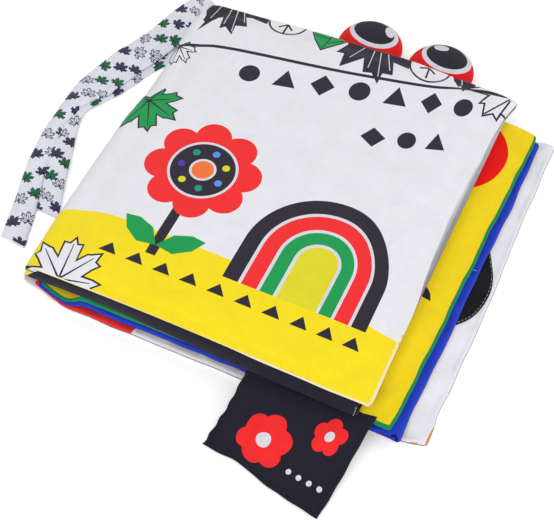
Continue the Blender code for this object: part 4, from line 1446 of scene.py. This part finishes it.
def make_patch():
    """Round grained patch on the back cover's lining."""
    cx, cy, radius = 143.4, -3.0, 33.5
    edge = circle(cx, cy, radius, 96)
    inside = grid_inside(edge, 2.6)
    inside = [p for p in inside if math.hypot(p[0] - cx, p[1] - cy) < radius - 1.2]
    for d in (0.2, 0.55, 1.0):
        inside += circle(cx, cy, radius - d, 96)
    cloth = cut_cloth(edge, [], inside, "patch")

    def place(flat):
        half, _ = back_page.half(flat[:, 0], flat[:, 1])
        z = back_page.middle(flat[:, 0], flat[:, 1]) + half + 0.55
        z = z + 0.10 * ripples(flat[:, 0], flat[:, 1], 77, 12, 30)
        places = back_page.settle(np.stack((flat[:, 0], flat[:, 1], z), 1))
        return places + back_page.pucker(flat, np.ones(len(flat)))

    def half_of(points):
        distance = radius - np.hypot(points[:, 0] - cx, points[:, 1] - cy)
        return np.maximum(rounded_edge(distance, 0.4), 0.03)

    made = thick_piece("touch_patch_disc", cloth, place, half_of, PATCH, "patch")
    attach(made, "back_cover")
    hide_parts("touch_patch")
    ring = circle(cx, cy, radius - 0.8, 120)
    sew(
        "touch_patch_stitches", [on_surface(place, ring + ring[:1], 0.42)], "back_cover",
        GREY_THREAD, pitch=2.1, length=1.7, width=0.34, seed=4,
    )


def sew_binding():
    """The one seam that holds every page's bound edge."""
    bound = [(12.3, y) for y in np.linspace(-82, 82, 110)]
    top = over_page(leaf_two, page_roll(leaf_two, LEAF_TWO_ROLL, leaf_two.left), 1)
    sew("binding_stitches", [on_surface(top, bound, 0.12)], "back_cover", PALE_THREAD, seed=6)


# Flap, eyes and ties

FLAP_TOP = 86.5
FLAP_LEFT_SIDE = 32.5
FLAP_RIGHT_SIDE = 42.4
FLAP_WIDTH = 54.5
FLAP_LENGTH = 38.5


def flap_middle(flat):
    """The flap's middle surface: flat x runs along its top edge, and flat y down it below 0."""
    across = flat[:, 0] / FLAP_WIDTH
    down = -flat[:, 1] / FLAP_LENGTH
    side = FLAP_LEFT_SIDE + (FLAP_RIGHT_SIDE - FLAP_LEFT_SIDE) * across
    side = side - 1.7 * np.exp(-(((across - 0.3) / 0.17) ** 2))
    x = 99.8 + flat[:, 0] * (1 + 0.035 * (1 - down)) - 3.9 * down
    x = x + (0.6 * np.sin(down * 5.2) + 0.30 * np.sin(down * 29.0)) * (1 - across) * np.clip(down * 3, 0, 1)
    x = x + 0.12 * np.sin(down * 24.0 + 1.0) * across
    drop = 11.0
    fall = drop * (1 - np.cos(math.pi * np.clip(down, 0, 1))) / 2
    lean = np.cos(np.arcsin(drop / side) * np.clip(down, 0, 1))
    y = -FLAP_TOP - side * down * lean + 3.6 * (1 - down) * across + 0.12 * np.sin(across * 31) * down
    z = 12.4 - fall + 0.35 * ripples(flat[:, 0], flat[:, 1], 83, 22, 60) * np.clip(down, 0, 1)
    z = z + 2.2 * np.clip(across, 0, 1) ** 4 * np.clip(1 - down * 2, 0, 1)
    return np.stack((x, y, z + 0.1), 1)


def make_flap():
    """The hanging flap: a thin padded piece with a print on its face."""
    width, length = FLAP_WIDTH, FLAP_LENGTH
    n = 24
    edge = [(width * i / n, -length) for i in range(n)]
    edge += [(width, -length + length * i / n) for i in range(n)]
    edge += [(width - width * i / n, 0) for i in range(n)]
    edge += [(0, -length * i / n) for i in range(n)]
    inside = grid_inside(edge, 1.8)
    for d in (0.15, 0.5, 1.0, 1.8, 2.8):
        inside += [(d + (width - 2 * d) * i / 34, -d) for i in range(35)]
        inside += [(d + (width - 2 * d) * i / 34, -length + d) for i in range(35)]
        inside += [(d, -d - (length - 2 * d) * i / 24) for i in range(25)]
        inside += [(width - d, -d - (length - 2 * d) * i / 24) for i in range(25)]
    shapes = []
    for x, y, petals, reach in ((20.5, -23.5, 6, 11.0), (42.5, -12.0, 5, 6.6)):
        for number in range(petals):
            turn = 2 * math.pi * number / petals + 0.35
            petal = (x + 0.58 * reach * math.cos(turn), y + 0.58 * reach * math.sin(turn))
            shapes.append(("red", circle(petal[0], petal[1], 0.45 * reach, 32)))
        shapes.append(("pale", circle(x, y, 0.28 * reach, 28)))
    for number in range(4):
        shapes.append(("pale", circle(35.5 + 4.6 * number, -29.0, 1.1, 16)))
    cloth = cut_cloth(edge, shapes, inside, "black")

    def half_of(points):
        sideways = np.minimum(points[:, 0], width - points[:, 0])
        d = np.minimum(sideways, np.minimum(-points[:, 1], length + points[:, 1]))
        return np.maximum(rounded_edge(d, 0.5), 0.05) + 0.75 * ease(d / 6.0)

    made = thick_piece("flap_padded_cloth", cloth, flap_middle, half_of, LINING, "black")
    rim_near = half_of(cloth[0]) < 0.62

    def is_held(places):
        return (places[:, 1] > -88.5) | np.tile(rim_near, 2)

    solve_piece(made, is_held, 0.8, 0.015, 0.6)
    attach(made, "flap")
    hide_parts("flap_face_cloth", "flap_back_cloth", "flap_filling")
    inset = 1.5
    rows = [(inset, -0.8)] + [(inset, -inset - (length - 2 * inset) * i / 20) for i in range(21)]
    rows += [(inset + (width - 2 * inset) * i / 30, -length + inset) for i in range(31)]
    rows += [(width - inset, -length + inset + (length - inset - 0.8) * i / 20) for i in range(21)]
    line = on_surface(flap_middle, rows, half_of(np.array(rows)) + 0.12)
    sew("flap_stitches", [line], "flap", DARK_THREAD, width=0.32, seed=8)


EYE_LENGTH = 28.5
EYE_MIDDLE = EYE_LENGTH * 0.47


def eye_outline(share, count, width):
    """Outline of an eye about its middle, straighter at its sewn end."""
    points = []
    for step in range(count):
        turn = 2 * math.pi * step / count
        side, rise = math.cos(turn), math.sin(turn)
        squareness = 1.0 if rise > 0 else 0.66
        x = math.copysign(abs(side) ** squareness, side) * width / 2
        reach = EYE_LENGTH - EYE_MIDDLE if rise > 0 else EYE_MIDDLE
        y = math.copysign(abs(rise) ** squareness, rise) * reach
        points.append((x * share, y * share))
    return points


def make_eye(name, body, x_middle, lean, glint, shift, width):
    """A stuffed eye with a printed pupil."""
    edge = eye_outline(1.0, 84, width)
    inside = []
    for share in (0.985, 0.95, 0.9, 0.83, 0.74, 0.64, 0.54, 0.44, 0.34, 0.24, 0.14):
        inside += eye_outline(share, max(12, round(84 * share)), width)
    inside.append((0.0, 0.0))
    c, s = math.cos(lean), math.sin(lean)

    def turned(points):
        return [(x * c - y * s, x * s + y * c) for x, y in points]

    shapes = [
        ("pale", turned(circle(shift, 6.2, 12.0, 56, 8.7))),
        ("charcoal", turned(circle(shift - 0.2, 6.8, 9.9, 50, 7.0))),
        ("pale", turned(circle(glint, 10.2, 3.5, 26, 2.0, -0.9 if glint > 0 else 0.25))),
    ]
    cloth = cut_cloth(edge, shapes, inside, "eye_red")

    def share_of(points):
        turn = np.arctan2(points[:, 1], points[:, 0])
        line = np.array(eye_outline(1.0, 360, width))
        line_turn = np.arctan2(line[:, 1], line[:, 0])
        order = np.argsort(line_turn)
        reach = np.hypot(line[:, 0], line[:, 1])
        radius = np.interp(turn, line_turn[order], reach[order], period=2 * math.pi)
        return np.clip(np.hypot(points[:, 0], points[:, 1]) / radius, 0, 1)

    tilt = math.radians(6)

    def place(flat):
        away = EYE_MIDDLE + flat[:, 1]
        x = x_middle + flat[:, 0]
        y = 85.6 + away * math.cos(tilt)
        z = 12.1 + away * math.sin(tilt)
        return np.stack((x, y, z), 1)

    def half_of(points):
        share = share_of(points)
        return 0.25 + 4.3 * np.sqrt(np.maximum(1 - share ** 2.3, 0)) ** 0.9

    made = thick_piece(name, cloth, place, half_of, PLUSH, "eye_red")

    def is_held(places):
        return places[:, 1] < 84.5

    solve_piece(made, is_held, 2.0, 0.03, 0.9)
    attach(made, body)
    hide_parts(f"{body}_front_cloth", f"{body}_back_cloth", f"{body}_stuffing")


ROOT_REACH = 14.0
ROOT_WIDTH = 11.0

# The outer edge of the long tie and the inner edge of the short one, from where they leave the book,
# and how wide each shows at shares of its length
LONG_EDGE = (
    (-5, 98.9), (-8.6, 102.0), (-12.4, 103.8), (-16.6, 103.4), (-21.0, 99.0), (-25.9, 86.7), (-30.2, 72.9),
    (-34.6, 61.2), (-37.6, 54.6), (-41.3, 42.9), (-44.4, 30.5), (-45.0, 21.1), (-44.7, 12.1), (-44.4, 2.6),
    (-43.9, -5.8), (-42.9, -14.1), (-41.4, -24.3), (-39.2, -33.5), (-35.6, -46.7), (-33.2, -56.1),
    (-31.2, -64.3),
)
LONG_SHOWN = (
    (0.0, 6.4), (0.04, 9.4), (0.09, 13.0), (0.16, 15.6), (0.24, 17.0), (0.42, 17.5), (0.485, 16.2),
    (0.535, 11.5), (0.58, 7.6), (0.63, 6.3), (0.68, 7.0), (0.78, 8.5), (0.90, 9.9), (1.0, 10.6),
)
SHORT_EDGE = (
    (-5, 92.8), (-6.6, 86.5), (-6.6, 76), (-8.8, 66), (-12.7, 58.4), (-17.2, 49.8), (-20.6, 40.5),
    (-24.1, 31.9), (-28.6, 24.0), (-32.6, 16.4), (-32.6, 8.6), (-28.6, -3.4), (-24.2, -16.1), (-21.0, -25.4),
    (-17.1, -35.6), (-13.7, -44.5),
)
SHORT_SHOWN = (
    (0.0, 6.0), (0.06, 9.5), (0.15, 13.6), (0.45, 14.4), (0.56, 12.4), (0.66, 11.6), (0.85, 12.6),
    (1.0, 13.6),
)


# Fill, outline and outline width of the leaves on the ties
TIE_LEAVES = (("tie_green", "tie_ink", 0.3), ("tie_navy", "tie_ink", 0.3), ("tie_white", "tie_navy", 0.4))


def tie_print(start, end, width, seed):
    """Small leaves close together along a tie, in turn green, navy and outlined."""
    picks = np.random.default_rng(seed)
    shapes = []
    pitch, size = 12.8, 4.9
    for row, across in enumerate((width * 0.14, width * 0.5, width * 0.86)):
        along = start + 1.0 + pitch * (0.0, 0.66, 0.33)[row]
        number = row
        while along < end + 2:
            heading = 180 + float(picks.uniform(-40, 40))
            turn = math.radians(heading)
            x = along - size * 0.25 * math.cos(turn) + float(picks.uniform(-0.5, 0.5))
            y = across - size * 0.25 * math.sin(turn) + float(picks.uniform(-0.5, 0.5))
            fill, line, line_width = TIE_LEAVES[(number * 2 + row) % 3]
            shapes += leaf(x, y, size, heading, fill, line, line_width, line)
            along += pitch
            number += 1
    return shapes


def ribbon_cloth(start, end, width, seed, spacing=1.7):
    """The flat cut of a tie: flat x along it and flat y across it."""
    count = max(6, round((end - start) / spacing))
    across = 10
    edge = [(start + (end - start) * i / count, 0.0) for i in range(count)]
    edge += [(end, width * i / across) for i in range(across)]
    edge += [(end - (end - start) * i / count, width) for i in range(count)]
    edge += [(start, width - width * i / across) for i in range(across)]
    inside = []
    near = (0.12, 0.35, 0.8)
    rows = [*near, *(width * t for t in np.linspace(0.09, 0.91, 13)), *(width - t for t in near[::-1])]
    for i in range(1, count):
        for t in rows:
            inside.append((start + (end - start) * i / count, t))
    return cut_cloth(edge, tie_print(start, end, width, seed), inside, "tie_white")


def make_root(name, node, level, seed):
    """The sewn end of a tie, gathered as it turns from the spine's end to the left."""
    inner = np.array(curve([(-7.6, 84.4), (-7.4, 87.5), (-6.6, 90.5), (-5.0, 92.6)], 60))
    outer = np.array(curve([(3.6, 84.4), (3.2, 89.5), (0.2, 95.4), (-5.0, 98.9)], 60))
    stops = np.linspace(0, ROOT_REACH, 60)

    def place(flat):
        s, share = flat[:, 0], flat[:, 1] / ROOT_WIDTH
        x = np.interp(s, stops, outer[:, 0]) * (1 - share) + np.interp(s, stops, inner[:, 0]) * share
        y = np.interp(s, stops, outer[:, 1]) * (1 - share) + np.interp(s, stops, inner[:, 1]) * share
        rise = 4.0 * (1 - ease(s / (ROOT_REACH * 0.8)))
        z = level + rise + 0.75 + 0.35 * np.sin(flat[:, 1] * 1.3 + 0.1 * s)
        return np.stack((x, y, z), 1)

    def half_of(points):
        distance = np.minimum(points[:, 1], ROOT_WIDTH - points[:, 1])
        return np.maximum(rounded_edge(distance, 0.45), 0.06)

    cloth = ribbon_cloth(0.0, ROOT_REACH, ROOT_WIDTH, seed)
    made = thick_piece(f"{name}_root_cloth", cloth, place, half_of, TIE_CLOTH)
    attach(made, "back_cover")
    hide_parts(node)


def make_strap(name, body, line, shown, side, width, level_of, slant, seed):
    """The free length of a tie along a measured edge. Where it shows narrower, the rest is folded under."""
    points = np.array(curve(line, 400))
    steps = np.concatenate(([0], np.cumsum(np.hypot(*np.diff(points, axis=0).T))))
    length = steps[-1]
    heading = np.gradient(points, axis=0)
    heading /= np.hypot(heading[:, 0], heading[:, 1])[:, None]
    smooth = np.hanning(25) / np.hanning(25).sum()
    padded = np.pad(heading, ((12, 12), (0, 0)), "edge")
    heading = np.stack([np.convolve(padded[:, i], smooth, "valid") for i in (0, 1)], 1)
    shares, widths = zip(*shown)

    def place(flat):
        s, t = flat[:, 0], flat[:, 1]
        at = np.stack([np.interp(s, steps, points[:, i]) for i in (0, 1)], 1)
        way = np.stack([np.interp(s, steps, heading[:, i]) for i in (0, 1)], 1)
        across = np.stack((-way[:, 1], way[:, 0]), 1) * side
        seen = np.interp(s / length, shares, widths)
        rest = np.maximum(width - seen, 1e-3)
        folded = np.clip(rest / 1.6, 0, 1)
        beyond = np.maximum(t - seen, 0)
        turn = np.clip(beyond / 2.0, 0, 1)
        back = np.maximum(beyond - 2.0, 0) * np.minimum(1, (seen - 1.2) / np.maximum(rest, 0.5))
        u = np.minimum(t, seen) + 0.65 * np.sin(turn * math.pi) - back
        under = (1 - np.cos(turn * math.pi)) / 2 * folded
        flat_u = t * seen / width
        u = flat_u + (u - flat_u) * folded
        curl = 0.5 * np.cos((u / seen - 0.45) * math.pi * 1.6)
        free = ease(s / 25)
        late = ease((s - length + 25) / 25)
        at = at - way * (slant * late * np.clip(u / seen, 0, 1))[:, None]
        z = level_of(s / length) + 0.6 + 1.45 * folded - 1.45 * under
        swell = 0.45 * np.sin(s / 9.0 + t / 4.5) * (1 - 0.6 * under)
        z = z + free * (curl * (0.35 + 0.65 * folded) + swell + 0.35)
        return np.stack((at[:, 0] + across[:, 0] * u, at[:, 1] + across[:, 1] * u, np.maximum(z, 0.5)), 1)

    def place_from_back(flat):
        return place(back_over(flat, width))

    def half_of(points):
        return np.maximum(rounded_edge(np.minimum(points[:, 1], width - points[:, 1]), 0.4), 0.05)

    cloth = ribbon_cloth(0.0, length, width, seed)
    if side < 0:
        cloth = mirrored(cloth, width)
    laid = place_from_back if side < 0 else place
    made = thick_piece(f"{name}_strap_cloth", cloth, laid, half_of, TIE_CLOTH)
    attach(made, body)
    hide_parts(body)


def back_over(flat, width):
    """The same flat place measured from the other edge."""
    return np.stack((flat[:, 0], width - flat[:, 1]), 1)


def mirrored(cloth, width):
    """A cut cloth measured from its other edge, with its triangles turned to suit."""
    points, faces, inks = cloth
    return back_over(points, width), faces[:, ::-1], inks


def short_tie_level(share):
    """The short tie lies on the floor all along."""
    return 0 * share


def long_tie_level(share):
    """The long tie lies over the short one until near its free end."""
    return 1.5 * (1 - ease((share - 0.72) / 0.2))


def make_edge_pieces():
    """Flap, eyes, and both ties."""
    make_flap()
    make_eye("left_eye_padded_cloth", "left_eye", 75.7, -0.12, 4.9, -1.2, 30.6)
    make_eye("right_eye_padded_cloth", "right_eye", 111.6, -0.10, -4.6, 0.1, 31.0)
    make_root("short_tie", "tie_short_root", 0.0, 3)
    make_root("long_tie", "tie_long_root", 1.4, 4)
    make_strap("short_tie", "tie_short", SHORT_EDGE, SHORT_SHOWN, -1, 13.8, short_tie_level, 6.5, 5)
    make_strap("long_tie", "tie_long", LONG_EDGE, LONG_SHOWN, 1, 17.5, long_tie_level, -2.5, 9)


# Light, floor and camera


def make_stage():
    """A pale floor, a bright even surround, two soft lamps and the camera."""
    mesh = bpy.data.meshes.new("floor")
    reach = 3.0
    corners = [(-reach, -reach, 0), (reach, -reach, 0), (reach, reach, 0), (-reach, reach, 0)]
    mesh.from_pydata(corners, [], [(0, 1, 2, 3)])
    floor = bpy.data.objects.new("floor", mesh)
    bpy.context.scene.collection.objects.link(floor)
    made, tree, shader = new_material("floor_white")
    shader.inputs["Base Color"].default_value = (1.0, 1.0, 1.0, 1)
    shader.inputs["Emission Color"].default_value = (1.0, 1.0, 1.0, 1)
    seen = tree.nodes.new("ShaderNodeLightPath")
    lift = tree.nodes.new("ShaderNodeMath")
    lift.operation = "MULTIPLY"
    lift.inputs[1].default_value = 0.22
    tree.links.new(seen.outputs["Is Camera Ray"], lift.inputs[0])
    tree.links.new(lift.outputs[0], shader.inputs["Emission Strength"])
    shader.inputs["Roughness"].default_value = 0.9
    shader.inputs["Specular IOR Level"].default_value = 0.0
    mesh.materials.append(made)
    world = bpy.data.worlds.new("studio")
    bpy.context.scene.world = world
    world.use_nodes = True
    world.node_tree.nodes["Background"].inputs["Color"].default_value = (1, 1, 1, 1)
    world.node_tree.nodes["Background"].inputs["Strength"].default_value = 0.56
    for name, place, size, power in (
        ("key_lamp", (0.10, -0.80, 1.22), 0.9, 9.0),
        ("side_lamp", (0.95, 0.20, 1.05), 0.9, 3.4),
    ):
        lamp = bpy.data.lights.new(name, "AREA")
        lamp.shape = "SQUARE"
        lamp.size = size
        lamp.energy = power
        holder = bpy.data.objects.new(name, lamp)
        holder.location = place
        holder.rotation_euler = Vector(place).to_track_quat("Z", "Y").to_euler()
        bpy.context.scene.collection.objects.link(holder)
    camera_data = bpy.data.cameras.new("camera")
    camera_data.sensor_width = 36
    camera_data.lens = 92.27
    camera_data.dof.use_dof = False
    camera = bpy.data.objects.new("camera", camera_data)
    bpy.context.scene.collection.objects.link(camera)
    azimuth, elevation = math.radians(25.16), math.radians(55.54)
    level = math.cos(elevation)
    back = Vector((math.sin(azimuth) * level, -math.cos(azimuth) * level, math.sin(elevation)))
    looked_at = Vector((-0.00866, -0.02853, 0.010))
    distance = 0.6114
    camera.location = looked_at + back * distance
    camera.rotation_euler = back.to_track_quat("Z", "Y").to_euler()
    bpy.context.scene.camera = camera
    bpy.context.scene.view_settings.view_transform = "Standard"


def colour_tabs():
    """The sewn tabs of the flap and the eyes are the part's own, in the cloth of their piece."""
    for node, colour in (("flap_tab", "black"), ("left_eye_tab", "eye_red"), ("right_eye_tab", "eye_red")):
        made = cloth_material(f"{node}_cloth", colour=colour, own_cut=False)
        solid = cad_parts[node]
        solid.data.materials.clear()
        solid.data.materials.append(made)


make_stage()
make_front_cover()
make_pages()
make_spine()
make_patch()
sew_binding()
make_edge_pieces()
colour_tabs()
